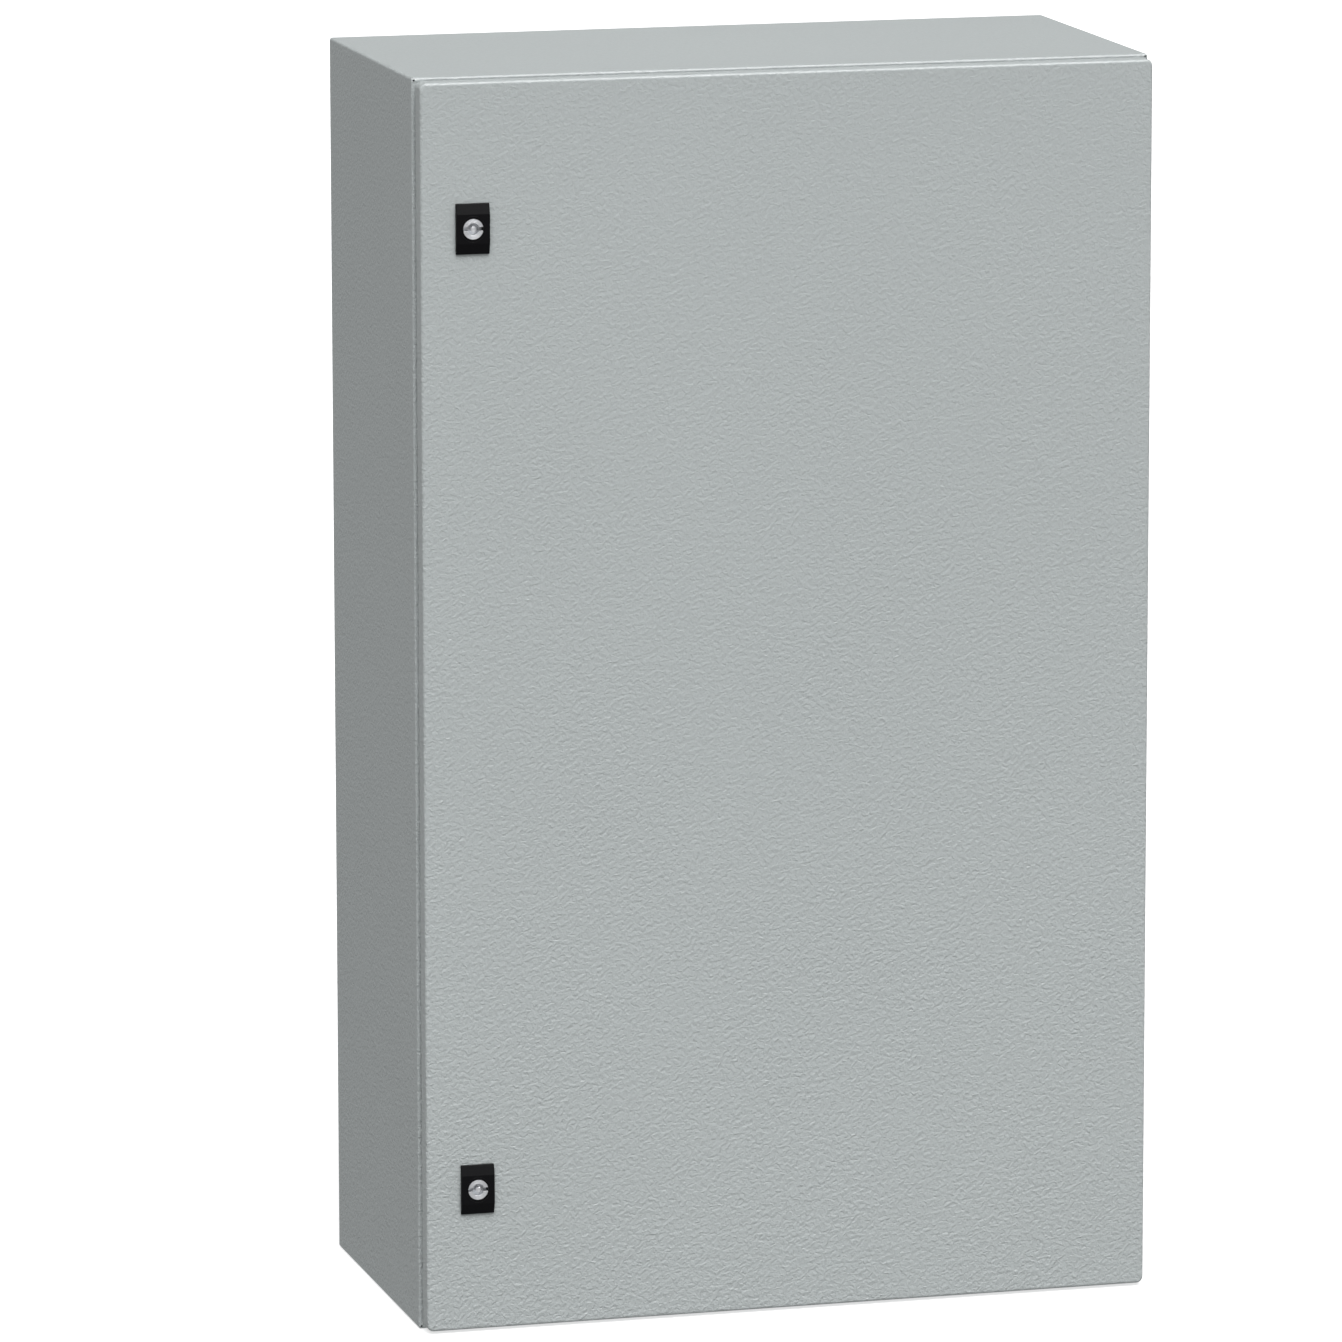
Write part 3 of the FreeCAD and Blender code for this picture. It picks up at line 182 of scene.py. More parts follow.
# %% Helpers for node materials
class Finish:
    """A material under construction: its nodes, its shader and a point in the piece's own metres."""

    def __init__(self, name):
        self.material = bpy.data.materials.new(name)
        self.material.use_nodes = True
        self.tree = self.material.node_tree
        self.shader = self.tree.nodes["Principled BSDF"]
        self.place = self.node("ShaderNodeTexCoord").outputs["Object"]

    def node(self, kind, inputs=(), **settings):
        """A node of one kind, with its settings, and its inputs joined to sockets or given values."""
        made = self.tree.nodes.new(kind)
        for word, value in settings.items():
            setattr(made, word, value)
        for socket, value in dict(inputs).items():
            if isinstance(value, bpy.types.NodeSocket):
                self.tree.links.new(value, made.inputs[socket])
            else:
                made.inputs[socket].default_value = value
        return made

    def set(self, name, value):
        """A value on the shader itself, the same all over the surface."""
        self.shader.inputs[name].default_value = value

    def feed(self, name, socket):
        """A texture joined to the shader, so that the value changes over the surface."""
        self.tree.links.new(socket, self.shader.inputs[name])

    def centred(self, spot):
        """The same place, measured from a spot."""
        return self.node("ShaderNodeVectorMath", {0: self.place, 1: spot}, operation="SUBTRACT").outputs[0]

    def drawn_out(self, along, tilt):
        """The same place, drawn out along a line that rises to the right by the tilt."""
        settings = {"Vector": self.place, "Rotation": (0.0, -tilt, 0.0), "Scale": (along, along, 1.0)}
        return self.node("ShaderNodeMapping", settings, vector_type="TEXTURE").outputs["Vector"]

    def noise(self, scale, detail=2.0, rough=0.5, distort=0.0, at=None):
        settings = {
            "Vector": at or self.place,
            "Scale": scale,
            "Detail": detail,
            "Roughness": rough,
            "Distortion": distort,
        }
        return self.node("ShaderNodeTexNoise", settings).outputs["Fac"]

    def cells(self, scale, out="Distance", at=None):
        return self.node("ShaderNodeTexVoronoi", {"Vector": at or self.place, "Scale": scale}).outputs[out]

    def ramp(self, value, low, high, to_low=0.0, to_high=1.0):
        settings = {0: value, 1: low, 2: high, 3: to_low, 4: to_high}
        return self.node("ShaderNodeMapRange", settings).outputs["Result"]

    def math(self, how, one, other=0.0):
        return self.node("ShaderNodeMath", {0: one, 1: other}, operation=how).outputs[0]

    def tint(self, share, one, other):
        """A colour between two colours."""
        return self.node("ShaderNodeMix", {0: share, 6: one, 7: other}, data_type="RGBA").outputs[2]

    def shaded(self, colour, share):
        """A colour made darker or lighter."""
        return self.node("ShaderNodeVectorMath", {0: colour, 3: share}, operation="SCALE").outputs[0]

    def soft_edges(self, radius):
        """Normals that run round every sharp edge, as on a real stamped or moulded edge."""
        return self.node("ShaderNodeBevel", {"Radius": radius}, samples=4).outputs["Normal"]

    def edges(self, normal):
        """One on the outer edges and nothing on the flats."""
        flat = self.node("ShaderNodeNewGeometry").outputs["Normal"]
        along = self.node("ShaderNodeVectorMath", {0: normal, 1: flat}, operation="DOT_PRODUCT")
        return self.ramp(along.outputs["Value"], 0.995, 0.86)

    def bump(self, height, depth, under=None):
        settings = {"Height": height, "Distance": depth, "Strength": 1.0}
        if under:
            settings["Normal"] = under
        return self.node("ShaderNodeBump", settings).outputs["Normal"]


print("finish kit ready")

# %% [markdown]
# ## Textured powder coat
# The sheet steel is sprayed with dry powder and baked. The powder flows into a fine leathery skin: soft
# wrinkles two or three millimetres apart with a faint grain on top. A picture of such a skin could be
# wrapped round the box, but it would stretch at the folds and repeat. Stretched noise, bent by itself,
# gives the same skin everywhere and at true size. The box hangs upright while the powder melts, so the
# wrinkles deepen towards the bottom, and the sides, which face away from the spray gun, wrinkle more than
# the front. The colour carries painted shade in the valleys of the wrinkles and a faint painted highlight
# on their crests. A slow cloud stands for the small changes in thickness that a sprayed coat always has.


# %% Textured powder coat
def powder_coat(name, colour, wrinkle=1.0):
    coat = Finish(name)
    lying = coat.drawn_out(1.08, math.radians(26.0))
    folds = coat.noise(345.0, 0.8, 0.5, 0.6, at=lying)
    creases = coat.noise(680.0, 0.0, 0.5, 0.4, at=lying)
    grain = coat.noise(1900.0, 2.0, 0.6)
    relief = coat.math("ADD", folds, coat.math("MULTIPLY", creases, 0.22))
    relief = coat.math("ADD", relief, coat.math("MULTIPLY", grain, 0.06))
    upright = coat.node("ShaderNodeSeparateXYZ", {0: coat.place}).outputs[2]
    run_down = coat.ramp(upright, body_low.z, body_high.z, 1.4, 0.62)
    patch = coat.ramp(coat.noise(7.0, 2.0), 0.3, 0.7, 0.9, 1.1)
    normal = coat.node("ShaderNodeTexCoord").outputs["Normal"]
    sideways = coat.math("ABSOLUTE", coat.node("ShaderNodeSeparateXYZ", {0: normal}).outputs[0])
    amount = coat.math("MULTIPLY", run_down, coat.ramp(sideways, 0.0, 1.0, 1.0, 1.55))
    height = coat.math("MULTIPLY", relief, coat.math("MULTIPLY", patch, amount))
    coat.feed("Normal", coat.bump(height, 0.0008 * wrinkle))
    cloud = coat.ramp(coat.noise(2.6, 3.0), 0.3, 0.7)
    paler = tuple(0.975 * part for part in colour[:3]) + (1.0,)
    # Painted shade and highlight: the colour is a little darker in the valleys of the wrinkles and a little
    # lighter on their crests.
    painted_relief_shade = coat.ramp(relief, 0.45, 1.0, 0.97, 1.02)
    coat.feed("Base Color", coat.shaded(coat.tint(cloud, colour, paler), painted_relief_shade))
    coat.feed("Roughness", coat.ramp(coat.noise(400.0, 2.0, 0.6), 0.3, 0.7, 0.42, 0.52))
    coat.set("IOR", 1.5)
    return coat.material


light_grey = (0.580, 0.623, 0.624, 1.0)
outer_coat = powder_coat("light_grey_powder_coat", light_grey)
inner_coat = powder_coat("light_grey_powder_coat_inside", light_grey, wrinkle=0.8)
print("coats:", outer_coat.name, inner_coat.name)

# %% [markdown]
# ## Zinc
# The fasteners, hinges and cams are plated with bright zinc: a cool metal with a faint cloudy iridescence
# and small pits. The mounting plate is cut from galvanised sheet, whose zinc froze in flat crystals about a
# centimetre wide. The lock inserts are cast, plated and turned on their face. A single smooth metal would
# look like chrome. Cloudy roughness, fine pits and crystals tell the three apart.


# %% Bright zinc, galvanised sheet and turned castings
def bright_zinc(name):
    zinc = Finish(name)
    edge = zinc.soft_edges(0.00025)
    # Painted highlight: the rounded outer edges are painted paler than the flats, so that they catch more
    # light.
    painted_edge_highlight = zinc.edges(edge)
    cloud = zinc.ramp(zinc.noise(90.0, 3.0, 0.6, 0.4), 0.3, 0.7)
    sheen = zinc.tint(cloud, (0.60, 0.615, 0.64, 1.0), (0.66, 0.645, 0.60, 1.0))
    zinc.feed("Base Color", zinc.tint(painted_edge_highlight, sheen, (0.80, 0.81, 0.82, 1.0)))
    pits = zinc.noise(1500.0, 3.0, 0.65)
    rough = zinc.ramp(pits, 0.25, 0.75, 0.24, 0.42)
    zinc.feed("Roughness", rough)
    zinc.feed("Normal", zinc.bump(pits, 0.00004, under=edge))
    zinc.set("Metallic", 1.0)
    return zinc.material


def galvanised_sheet(name):
    sheet = Finish(name)
    drift = sheet.node("ShaderNodeTexNoise", {"Vector": sheet.place, "Scale": 160.0}).outputs["Color"]
    moved = {0: sheet.place, 1: sheet.shaded(drift, 0.004)}
    bent = sheet.node("ShaderNodeVectorMath", moved, operation="ADD").outputs[0]
    crystal = sheet.node("ShaderNodeSeparateColor", {0: sheet.cells(105.0, "Color", at=bent)}).outputs[0]
    feather = sheet.noise(700.0, 3.0, 0.6, 1.2)
    tone = sheet.ramp(sheet.math("ADD", crystal, sheet.math("MULTIPLY", feather, 0.5)), 0.1, 1.4)
    sheet.feed("Base Color", sheet.tint(tone, (0.47, 0.49, 0.51, 1.0), (0.64, 0.655, 0.67, 1.0)))
    sheet.feed("Roughness", sheet.ramp(tone, 0.0, 1.0, 0.52, 0.30))
    edge = sheet.soft_edges(0.0003)
    sheet.feed("Normal", sheet.bump(feather, 0.00005, under=edge))
    sheet.set("Metallic", 0.92)
    return sheet.material


def turned_casting(name, axis):
    """Rings left by the turning tool run round the axis, which goes from front to back."""
    casting = Finish(name)
    apart = casting.node("ShaderNodeSeparateXYZ", {0: casting.centred((axis.x, 0.0, axis.z))})
    across = casting.node("ShaderNodeCombineXYZ", {0: apart.outputs[0], 2: apart.outputs[2]}).outputs[0]
    reach = casting.node("ShaderNodeVectorMath", {0: across}, operation="LENGTH").outputs["Value"]
    uneven = casting.math("ADD", reach, casting.math("MULTIPLY", casting.noise(500.0), 0.0004))
    rings = casting.math("SINE", casting.math("MULTIPLY", uneven, 2.0 * math.pi / 0.00042))
    pits = casting.noise(2600.0, 3.0, 0.6)
    edge = casting.soft_edges(0.0003)
    # Painted highlight: the rounded outer edges are painted paler than the flats, so that they catch more
    # light.
    painted_edge_highlight = casting.edges(edge)
    tone = casting.ramp(casting.math("ADD", casting.math("MULTIPLY", rings, 0.25), pits), 0.1, 1.0)
    plain = casting.tint(tone, (0.66, 0.675, 0.70, 1.0), (0.86, 0.87, 0.89, 1.0))
    casting.feed("Base Color", casting.tint(painted_edge_highlight, plain, (0.90, 0.91, 0.92, 1.0)))
    casting.feed("Roughness", casting.ramp(pits, 0.3, 0.7, 0.34, 0.55))
    lines = casting.math("ADD", casting.math("MULTIPLY", rings, 0.5), pits)
    casting.feed("Normal", casting.bump(lines, 0.00005, under=edge))
    casting.set("Metallic", 0.75)
    return casting.material


plated = bright_zinc("bright_zinc_plate")
galvanised = galvanised_sheet("galvanised_sheet")
print("metals:", plated.name, galvanised.name)

# %% [markdown]
# ## Plastic and foam
# The lock's face plate and housing are moulded in black plastic with a fine spark-eroded grain. Their edges
# carry a painted highlight, a little paler than the flats. The seals are black foam, full of tiny open
# pores, and quite matt. Both are so dark that their shape shows only in what they reflect, so it is the
# grain that has to be right.


# %% Black plastic and foam
def black_moulding(name):
    plastic = Finish(name)
    grain = plastic.noise(2400.0, 3.0, 0.65)
    edge = plastic.soft_edges(0.0003)
    # Painted highlight: the edges are painted a little paler than the flats, so that they catch more light.
    painted_rim_highlight = plastic.math("MULTIPLY", plastic.edges(edge), 0.5)
    cloud = plastic.noise(60.0, 2.0)
    black = plastic.tint(cloud, (0.0018, 0.0018, 0.0028, 1.0), (0.0030, 0.0030, 0.0042, 1.0))
    plastic.feed("Base Color", plastic.tint(painted_rim_highlight, black, (0.012, 0.012, 0.014, 1.0)))
    plastic.feed("Roughness", plastic.ramp(grain, 0.3, 0.7, 0.40, 0.56))
    plastic.feed("Normal", plastic.bump(grain, 0.00005, under=edge))
    plastic.set("Specular IOR Level", 0.14)
    return plastic.material


def foam_rubber(name):
    foam = Finish(name)
    pores = foam.cells(1250.0)
    skin = foam.noise(420.0, 3.0, 0.6)
    relief = foam.math("ADD", pores, foam.math("MULTIPLY", skin, 1.4))
    foam.feed("Normal", foam.bump(relief, 0.00022))
    # Painted shade: the pores are painted darker than the walls between them, as shade in the hollows.
    wall = foam.ramp(pores, 0.1, 0.6)
    foam.feed("Base Color", foam.tint(wall, (0.006, 0.006, 0.007, 1.0), (0.030, 0.030, 0.032, 1.0)))
    foam.feed("Roughness", foam.ramp(skin, 0.3, 0.7, 0.74, 0.95))
    foam.set("Specular IOR Level", 0.3)
    return foam.material


black_plastic = black_moulding("black_moulded_plastic")
black_foam = foam_rubber("black_foam_rubber")
print("blacks:", black_plastic.name, black_foam.name)

# %% [markdown]
# ## Dressing the steel
# Each finished solid gets the finish of the real piece. The outside of the box and the door share one coat,
# because they are sprayed together. The rails behind the door and the plate over the cable way are coated
# apart and have a slightly flatter skin.


# %% Finishes on the finished solids
def dress(finish, *names):
    for name in names:
        solid = nodes[name].data
        solid.materials.clear()
        solid.materials.append(finish)


dress(outer_coat, "body_wrap", "door_panel")
dress(inner_coat, "back_panel", "gland_plate", "door_rail_left", "door_rail_right")
dress(galvanised, "mounting_plate")
for place in ("upper", "middle", "lower"):
    dress(plated, "hinge_bracket_" + place, "hinge_leaf_" + place, "hinge_pin_" + place)
for place in ("upper", "lower"):
    dress(black_plastic, f"lock_{place}_escutcheon", f"lock_{place}_housing")
    casting = turned_casting(f"turned_casting_{place}", middle_of(f"lock_{place}_insert"))
    dress(casting, f"lock_{place}_insert")
    dress(plated, f"lock_{place}_cam")
dress(plated, "mounting_washers", "body_earth_washer", "door_earth_washer")
print("dressed:", sum(1 for node in nodes.values() if node.data.materials))

# %% [markdown]
# ## Working by hand
# New pieces start from a primitive and are shaped in edit mode. An operator works on all that is selected,
# so everything is put down first. Points, edges and faces are then picked by their place, as one would
# click on them. Each piece is modelled standing up at the origin, with its foot at zero, and is set in
# place when it is finished.


# %% Helpers for modelling
def nothing_held():
    if bpy.context.object and bpy.context.object.mode != "OBJECT":
        bpy.ops.object.mode_set(mode="OBJECT")
    bpy.ops.object.select_all(action="DESELECT")


def hold(piece):
    nothing_held()
    piece.select_set(True)
    bpy.context.view_layer.objects.active = piece


def pick(kind, wanted):
    """In edit mode, select only the points, edges or faces that are wanted."""
    bpy.ops.mesh.select_mode(type=kind)
    bpy.ops.mesh.select_all(action="DESELECT")
    shape = bmesh.from_edit_mesh(bpy.context.object.data)
    for thing in {"VERT": shape.verts, "EDGE": shape.edges, "FACE": shape.faces}[kind]:
        if wanted(thing):
            thing.select_set(True)
    shape.select_flush_mode()
    bmesh.update_edit_mesh(bpy.context.object.data)


def flat_rim(edge):
    """An edge that lies level."""
    return abs(edge.verts[0].co.z - edge.verts[1].co.z) < 1e-7


def tidy_shell():
    """In edit mode, weld what coincides and turn every face outwards."""
    bpy.ops.mesh.select_mode(type="VERT")
    bpy.ops.mesh.select_all(action="SELECT")
    bpy.ops.mesh.remove_doubles(threshold=1e-6)
    bpy.ops.mesh.normals_make_consistent(inside=False)


def apply_cut(piece, tool, how):
    """Cut the piece with the tool, or keep only what the two share, and put the tool away."""
    cut = piece.modifiers.new("cut", "BOOLEAN")
    cut.operation = how
    cut.solver = "EXACT"
    cut.object = tool
    hold(piece)
    bpy.ops.object.modifier_apply(modifier=cut.name)
    bpy.data.objects.remove(tool, do_unlink=True)


def joined(name, pieces):
    nothing_held()
    for piece in pieces:
        piece.select_set(True)
    bpy.context.view_layer.objects.active = pieces[0]
    if len(pieces) > 1:
        bpy.ops.object.join()
    pieces[0].name = name
    return pieces[0]


def shells(name):
    """The lowest and highest corners of each separate shell in a node, such as four nuts."""
    shape = bmesh.new()
    shape.from_mesh(nodes[name].data)
    bmesh.ops.remove_doubles(shape, verts=shape.verts, dist=1e-6)
    left = set(shape.verts)
    found = []
    for start in list(shape.verts):
        if start not in left:
            continue
        left.discard(start)
        group = [start]
        for point in group:
            for edge in point.link_edges:
                other = edge.other_vert(point)
                if other in left:
                    left.discard(other)
                    group.append(other)
        low = Vector(min(p.co[i] for p in group) for i in range(3))
        high = Vector(max(p.co[i] for p in group) for i in range(3))
        found.append((low, high))
    shape.free()
    return found


def set_in_place(master, node, facing, corner, body, finish):
    """A copy of the master on each shell of the node, standing out along facing, and all in one piece."""
    out = Vector(facing)
    up = Vector(corner)
    turn = Matrix((up.cross(out), up, out)).transposed().to_4x4()
    copies = []
    for low, high in shells(node):
        foot = Vector(
            (low[i] + high[i]) / 2 if abs(out[i]) < 0.5 else (low[i] if out[i] > 0 else high[i])
            for i in range(3)
        )
        copy = bpy.data.objects.new(node, master.data.copy())
        copy.data.transform(Matrix.Translation(foot) @ turn)
        bpy.context.scene.collection.objects.link(copy)
        copies.append(copy)
    piece = joined(node + "_made", copies)
    piece.data.materials.clear()
    piece.data.materials.append(finish)
    hold(piece)
    bpy.ops.object.shade_smooth_by_angle(angle=math.radians(32.0))
    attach(piece, body)
    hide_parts(node)
    low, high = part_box(node)
    corners = [v.co for v in piece.data.vertices]
    over = max(
        max(max(v[i] for v in corners) - high[i], low[i] - min(v[i] for v in corners)) for i in range(3)
    )
    print(f"{piece.name}: {len(piece.data.polygons)} faces, {over / MM:.2f} mm past its solid")
    return piece


def put_away(master):
    """Remove a master once its copies are in place."""
    bpy.data.objects.remove(master, do_unlink=True)


print("shells in mounting_nuts:", len(shells("mounting_nuts")))

# %% [markdown]
# ## Turned bars and threads
# A thread is one ridge wound round a bar. It could be a stack of separate rings, but those never run on
# into each other, and it shows. Here one ridge of the true pitch is drawn, and the Screw modifier winds it
# round and up. The wound skin is then cut to length with a turned blank, which also gives the small
# chamfer at the tip.


# %% Turned bars and threads
def turned_bar(radius, low, high, chamfer, steps=48):
    """A round bar along Z with both ends chamfered."""
    nothing_held()
    bpy.ops.mesh.primitive_cylinder_add(
        vertices=steps, radius=radius, depth=high - low, location=(0.0, 0.0, (low + high) / 2)
    )
    bar = bpy.context.object
    bpy.ops.object.transform_apply(location=True, rotation=True, scale=True)
    bpy.ops.object.mode_set(mode="EDIT")
    pick("EDGE", flat_rim)
    bpy.ops.mesh.bevel(offset=chamfer, segments=2, affect="EDGES")
    bpy.ops.object.mode_set(mode="OBJECT")
    return bar


def threaded_bar(radius, pitch, low, high, steps=22):
    """A bar along Z with a thread of the given pitch."""
    depth = 0.58 * pitch
    start = low - 2 * pitch
    nothing_held()
    bpy.ops.mesh.primitive_plane_add(
        size=pitch,
        location=(radius - depth - pitch / 2, 0.0, start + pitch / 2),
        rotation=(math.pi / 2, 0.0, 0.0),
    )
    bar = bpy.context.object
    bpy.ops.object.transform_apply(location=True, rotation=True, scale=True)
    bpy.ops.object.mode_set(mode="EDIT")
    pick("VERT", lambda v: v.co.x < radius - depth - pitch / 2)
    bpy.ops.mesh.delete(type="VERT")
    bpy.ops.mesh.select_all(action="SELECT")
    bpy.ops.mesh.subdivide(number_cuts=6)
    pick("VERT", lambda v: round((v.co.z - start) / pitch * 7) in (2, 5))
    bpy.ops.mesh.dissolve_verts()
    pick("VERT", lambda v: round((v.co.z - start) / pitch * 7) in (3, 4))
    bpy.ops.transform.translate(value=(depth, 0.0, 0.0))
    bpy.ops.object.mode_set(mode="OBJECT")
    wind = bar.modifiers.new("wind", "SCREW")
    wind.axis = "Z"
    wind.angle = 2 * math.pi
    wind.screw_offset = pitch
    wind.iterations = math.ceil((high - low) / pitch) + 3
    wind.steps = steps
    wind.render_steps = steps
    bpy.ops.object.modifier_apply(modifier=wind.name)
    bpy.ops.object.mode_set(mode="EDIT")
    tidy_shell()
    for height, side in ((low - 0.4 * pitch, "clear_inner"), (high + 0.4 * pitch, "clear_outer")):
        bpy.ops.mesh.select_all(action="SELECT")
        bpy.ops.mesh.bisect(
            plane_co=(0.0, 0.0, height), plane_no=(0.0, 0.0, 1.0), use_fill=True, **{side: True}
        )
    tidy_shell()
    bpy.ops.object.mode_set(mode="OBJECT")
    apply_cut(bar, turned_bar(radius * 1.02, low, high, 0.7 * pitch), "INTERSECT")
    return bar


THREADS = {  # radius and pitch
    "M8": (4.0 * MM, 1.25 * MM),
    "M6": (3.0 * MM, 1.0 * MM),
    "M5": (2.5 * MM, 0.8 * MM),
    "M4": (2.0 * MM, 0.7 * MM),
}
print("threads:", ", ".join(THREADS))

# %% [markdown]
# ## Welded studs
# Four studs are welded to the back. Each has a thick collar that holds the mounting plate off the wall, and
# an M8 thread for its nut. Two more, without collars, are for the earth leads.


# %% Studs
stud_low, stud_high = shells("mounting_studs")[0]
stud_length = stud_high.y - stud_low.y
collar_radius = (stud_high.x - stud_low.x) / 2
plate_sheet = 2.5 * MM
plate_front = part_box("mounting_plate")[0][1]
collar_tall = stud_high.y - plate_front - plate_sheet
print("stud:", round(stud_length / MM, 1), "mm long, its collar", round(collar_tall / MM, 1), "mm")

collar = turned_bar(collar_radius, 0.0, collar_tall, 0.4 * MM)
thread = threaded_bar(*THREADS["M8"], collar_tall - 0.5 * MM, stud_length)
stud = joined("stud", [collar, thread])
set_in_place(stud, "mounting_studs", (0, -1, 0), (0, 0, 1), "cabinet", plated)
put_away(stud)

earth_length = size_of("body_earth_stud").x
stud = threaded_bar(*THREADS["M8"], 0.0, earth_length)
set_in_place(stud, "body_earth_stud", (1, 0, 0), (0, 0, 1), "cabinet", plated)
put_away(stud)

door_earth_length = size_of("door_earth_stud").y
stud = threaded_bar(*THREADS["M6"], 0.0, door_earth_length)
set_in_place(stud, "door_earth_stud", (0, 1, 0), (0, 0, 1), "door", plated)
put_away(stud)

# %% [markdown]
# ## Nuts
# A pressed nut is a six-sided bar whose corners are turned off at a shallow angle, which leaves a curved
# line on each flat. Bevelling the corners by eye never gives that curve. Here a turned blank with shallow
# cones at its ends is made first, and the nut keeps only what the six-sided bar and the blank share, as
# the lathe does.


# %% Nuts
def hex_nut(flats, bore, tall):
    """A nut along Z with its foot at zero."""
    corner = flats / 2 / math.cos(math.radians(30.0))
    blank_radius = 1.03 * corner
    land = 0.94 * flats / 2
    drop = (blank_radius - land) * math.tan(math.radians(30.0))
    nothing_held()
    bpy.ops.mesh.primitive_cylinder_add(
        vertices=72, radius=blank_radius, depth=tall - 2 * drop, location=(0.0, 0.0, tall / 2)
    )
    blank = bpy.context.object
    bpy.ops.object.transform_apply(location=True, rotation=True, scale=True)
    bpy.ops.object.mode_set(mode="EDIT")
    for side in (1, -1):
        pick("FACE", lambda f: f.normal.z * side > 0.9)
        bpy.ops.mesh.extrude_region_move(TRANSFORM_OT_translate={"value": (0.0, 0.0, side * drop)})
        end = (0.0, 0.0, tall if side > 0 else 0.0)
        share = land / blank_radius
        bpy.ops.transform.resize(value=(share, share, 1.0), center_override=end)
    bpy.ops.object.mode_set(mode="OBJECT")
    nothing_held()
    bpy.ops.mesh.primitive_cylinder_add(
        vertices=6, radius=corner, depth=tall * 1.2, location=(0.0, 0.0, tall / 2)
    )
    nut = bpy.context.object
    bpy.ops.object.transform_apply(location=True, rotation=True, scale=True)
    apply_cut(nut, blank, "INTERSECT")
    apply_cut(nut, turned_bar(bore, -tall, 2 * tall, 0.1 * MM, steps=40), "DIFFERENCE")
    return nut


def nut_for(node, axis, bore, facing, body):
    """A nut with the size of the node's own, on each of its places."""
    low, high = shells(node)[0]
    spans = high - low
    nut = hex_nut(min(spans[i] for i in range(3) if i != axis), bore, spans[axis])
    set_in_place(nut, node, facing, (0, 0, 1), body, plated)
    put_away(nut)


nut_play = 0.05 * MM
m8_bore = THREADS["M8"][0] + nut_play
m6_bore = THREADS["M6"][0] + nut_play
housing_bore = 9.2 * MM + nut_play
nut_for("mounting_nuts", 1, m8_bore, (0, -1, 0), "cabinet")
nut_for("door_earth_nut", 1, m6_bore, (0, 1, 0), "door")
for place in ("upper", "lower"):
    nut_for(f"lock_{place}_nut", 1, housing_bore, (0, 1, 0), "door")

low, high = shells("body_earth_nut")[0]
nut = hex_nut(high.z - low.z, m8_bore, high.x - low.x)
set_in_place(nut, "body_earth_nut", (1, 0, 0), (0, 1, 0), "cabinet", plated)
put_away(nut)

# %% [markdown]
# ## Screws
# The gland plate, the hinges and the cams are held by pan-head screws with a cross recess. The head starts
# as a short bar whose top edge is rounded over in several steps. The recess is cut by two tapered wedges at
# right angles, as the punch would do it, and the shank is a short thread.


# %% Screws
def cross_screw(radius, pitch, reach, head_radius, head_tall):
    """A screw along Z: its tip at zero, then its shank, then its head."""
    top = reach + head_tall
    nothing_held()
    bpy.ops.mesh.primitive_cylinder_add(
        vertices=40, radius=head_radius, depth=head_tall, location=(0.0, 0.0, reach + head_tall / 2)
    )
    head = bpy.context.object
    bpy.ops.object.transform_apply(location=True, rotation=True, scale=True)
    bpy.ops.object.mode_set(mode="EDIT")
    pick("EDGE", lambda e: flat_rim(e) and e.verts[0].co.z > top - 1e-6)
    bpy.ops.mesh.bevel(offset=0.62 * head_tall, segments=6, affect="EDGES")
    bpy.ops.object.mode_set(mode="OBJECT")
    deep = 0.62 * head_tall
    for sides in ((1.0, 0.24), (0.24, 1.0)):
        nothing_held()
        bpy.ops.mesh.primitive_cube_add(size=1.0, location=(0.0, 0.0, top))
        wedge = bpy.context.object
        wedge.scale = (sides[0] * head_radius, sides[1] * head_radius, 2 * deep)
        bpy.ops.object.transform_apply(location=True, rotation=True, scale=True)
        bpy.ops.object.mode_set(mode="EDIT")
        pick("FACE", lambda f: f.normal.z < -0.9)
        bpy.ops.transform.resize(value=(0.35, 0.35, 1.0), center_override=(0.0, 0.0, top - deep))
        bpy.ops.object.mode_set(mode="OBJECT")
        apply_cut(head, wedge, "DIFFERENCE")
    shank = threaded_bar(radius, pitch, 0.0, reach + 0.3 * MM, steps=16)
    return joined("screw", [head, shank])


def screws_for(node, axis, thread, head_tall, facing, body):
    """A screw with the size of the node's own, on each of its places."""
    low, high = shells(node)[0]
    spans = high - low
    head_radius = max(spans[i] for i in range(3) if i != axis) / 2
    screw = cross_screw(*THREADS[thread], spans[axis] - head_tall, head_radius, head_tall)
    set_in_place(screw, node, facing, (1, 0, 0), body, plated)
    put_away(screw)


screws_for("gland_screws", 2, "M5", 3.0 * MM, (0, 0, 1), "cabinet")
screws_for("hinge_screws", 1, "M4", 2.4 * MM, (0, 1, 0), "cabinet")
for place in ("upper", "lower"):
    screws_for(f"lock_{place}_cam_screw", 1, "M4", 3.0 * MM, (0, 1, 0), f"lock_turn_{place}")

# %% [markdown]
# ## Foam seals
# The door's seal is a bead of liquid foam that is poured in a groove line by a nozzle and rises into a
# soft crowned ring without a joint. A bevelled curve would do for its section, but it pinches at tight
# corners. Here the ring is drawn as a sheet with rounded corners and pushed up in small insets, so that
# the crown keeps its width round every corner, and a slow clouds texture gives the slight unevenness of
# poured foam. The seal under the gland plate is made the same way, only flatter.


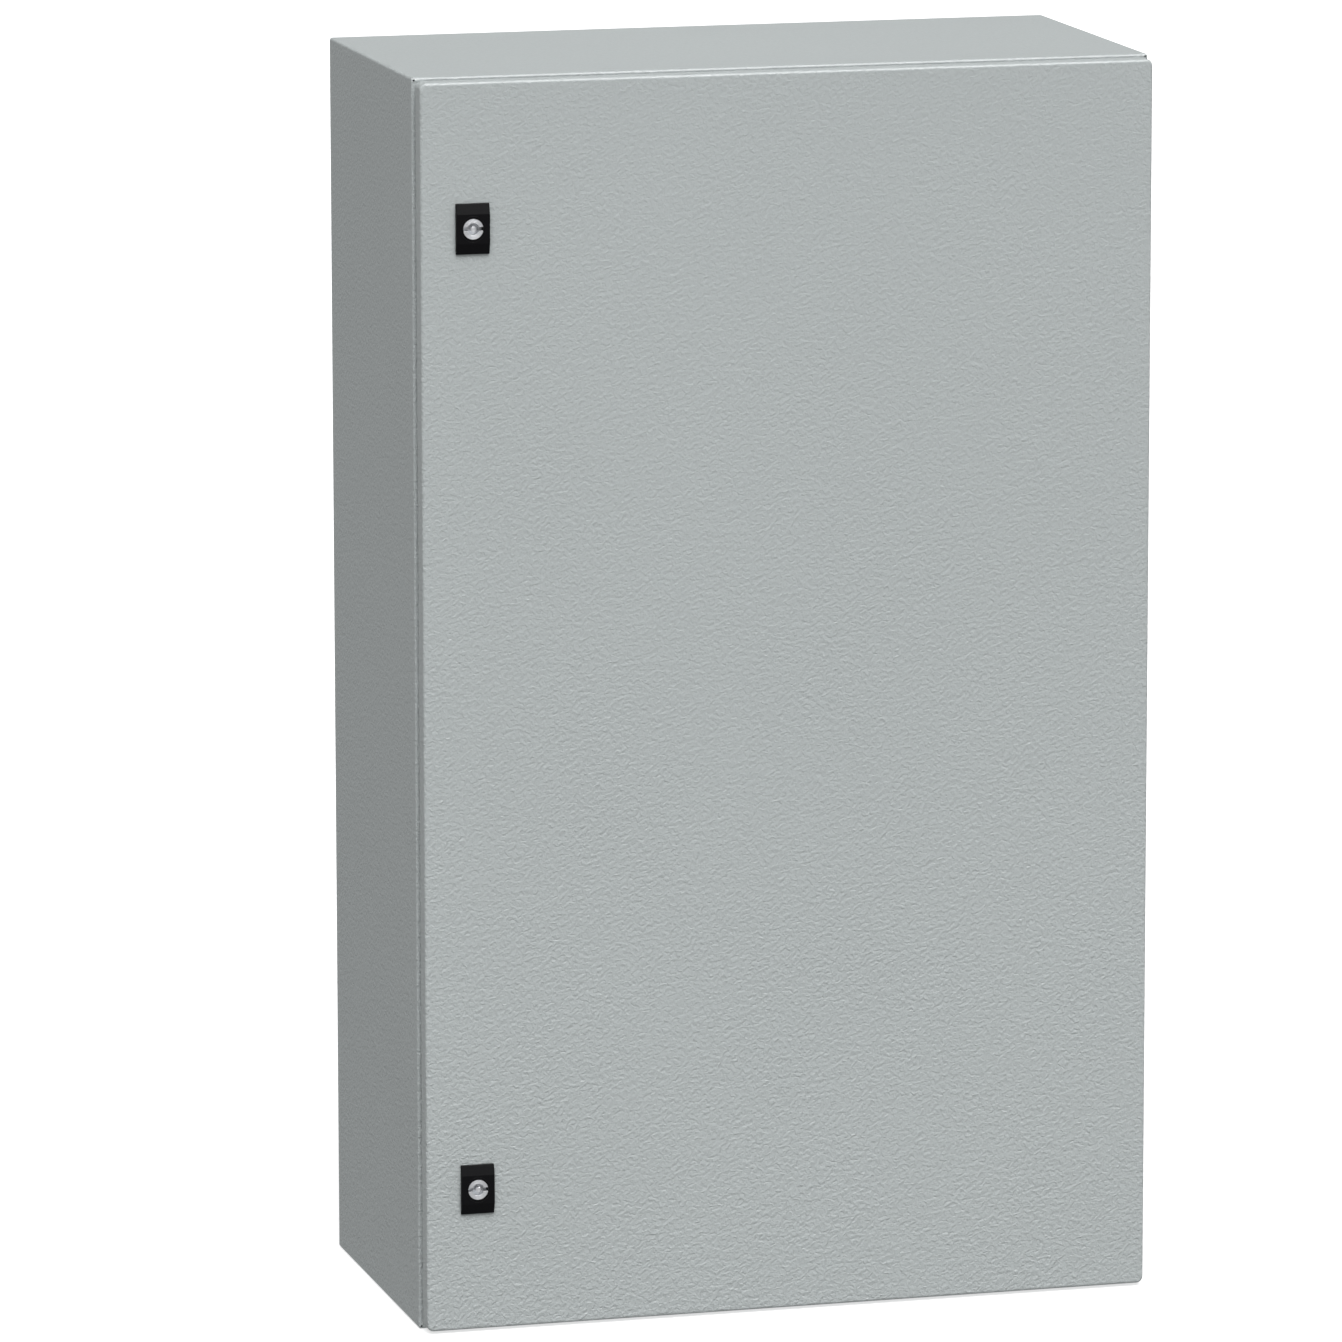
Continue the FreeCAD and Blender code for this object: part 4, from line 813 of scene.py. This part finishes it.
# %% Foam rings
def foam_ring(wide, tall, rise, bead, corner, wall, wave):
    """A ring of foam lying on its back, its crown upwards. The wall is the straight share of its rise."""
    nothing_held()
    bpy.ops.mesh.primitive_plane_add(size=1.0)
    ring = bpy.context.object
    ring.scale = (wide, tall, 1.0)
    bpy.ops.object.transform_apply(location=True, rotation=True, scale=True)
    bpy.ops.object.mode_set(mode="EDIT")
    bpy.ops.mesh.select_mode(type="VERT")
    bpy.ops.mesh.select_all(action="SELECT")
    if corner > bead:
        bpy.ops.mesh.bevel(offset=corner, segments=7, affect="VERTICES")
    turns = [math.radians(angle) for angle in (0, 15, 32, 50, 70, 90)]
    across = [bead / 2 * (1 - math.cos(turn)) for turn in turns]
    up = [rise * (wall + (1 - wall) * math.sin(turn)) for turn in turns]
    climb = [(0.02 * MM, up[0])]
    climb += [(across[i + 1] - across[i], up[i + 1] - up[i]) for i in range(len(turns) - 1)]
    bpy.ops.mesh.select_mode(type="FACE")
    bpy.ops.mesh.select_all(action="SELECT")
    for step, lift in climb:
        bpy.ops.mesh.inset(thickness=step, depth=lift, use_boundary=True)
    for step, lift in reversed(climb):
        bpy.ops.mesh.inset(thickness=step, depth=-lift, use_boundary=True)
    bpy.ops.mesh.delete(type="FACE")
    pick("EDGE", lambda e: e.is_boundary)
    bpy.ops.mesh.bridge_edge_loops()
    pick("EDGE", lambda e: e.calc_length() > 60 * MM)
    bpy.ops.mesh.subdivide(number_cuts=70)
    tidy_shell()
    bpy.ops.object.mode_set(mode="OBJECT")
    clouds = bpy.data.textures.new("foam_waves", "CLOUDS")
    clouds.noise_scale = 0.018
    waves = ring.modifiers.new("waves", "DISPLACE")
    waves.texture = clouds
    waves.strength = wave
    bpy.ops.object.modifier_apply(modifier=waves.name)
    return ring


def seal_for(node, axis, foam, facing, up, body):
    """A foam ring with the size of the node, whose thickness runs along the axis."""
    spans = size_of(node)
    wide, tall = (spans[i] for i in range(3) if i != axis)
    ring = foam_ring(wide, tall, rise=spans[axis], **foam)
    set_in_place(ring, node, facing, up, body, black_foam)
    put_away(ring)


door_foam = {"bead": 8.0 * MM, "corner": 13.2 * MM, "wall": 0.45, "wave": 0.3 * MM}
gland_foam = {"bead": 22.0 * MM, "corner": 4.0 * MM, "wall": 0.8, "wave": 0.1 * MM}
seal_for("door_gasket", 1, door_foam, facing=(0, 1, 0), up=(0, 0, 1), body="door")
seal_for("gland_seal", 2, gland_foam, facing=(0, 0, 1), up=(0, 1, 0), body="cabinet")

# %% [markdown]
# ## Lock seals
# A thin pad of foam sits between each lock's face plate and the door. Only its edge shows, as a dark line
# under the plate, and that edge bulges a little where the plate squeezes it. The pad is a flat blank with
# rounded corners, a bulged edge and a round hole for the housing.


# %% Lock seals
def lock_pad(wide, tall, thick, hole):
    """A flat pad lying on its back, with rounded corners, a bulged edge and a hole in its middle."""
    nothing_held()
    bpy.ops.mesh.primitive_cube_add(size=1.0, location=(0.0, 0.0, thick / 2))
    pad = bpy.context.object
    pad.scale = (wide, tall, thick)
    bpy.ops.object.transform_apply(location=True, rotation=True, scale=True)
    bpy.ops.object.mode_set(mode="EDIT")
    pick("EDGE", lambda e: not flat_rim(e))
    pad_corner = 1.5 * MM
    bpy.ops.mesh.bevel(offset=pad_corner, segments=5, affect="EDGES")
    pick("EDGE", flat_rim)
    bpy.ops.mesh.bevel(offset=0.42 * thick, segments=3, affect="EDGES")
    bpy.ops.object.mode_set(mode="OBJECT")
    apply_cut(pad, turned_bar(hole, -2 * thick, 3 * thick, 0.05 * MM, steps=48), "DIFFERENCE")
    return pad


housing_hole = 9.5 * MM
for place in ("upper", "lower"):
    node = f"lock_{place}_seal"
    spans = size_of(node)
    pad = lock_pad(spans.x, spans.z, spans.y, housing_hole)
    set_in_place(pad, node, (0, -1, 0), (0, 0, 1), "door", black_foam)
    put_away(pad)
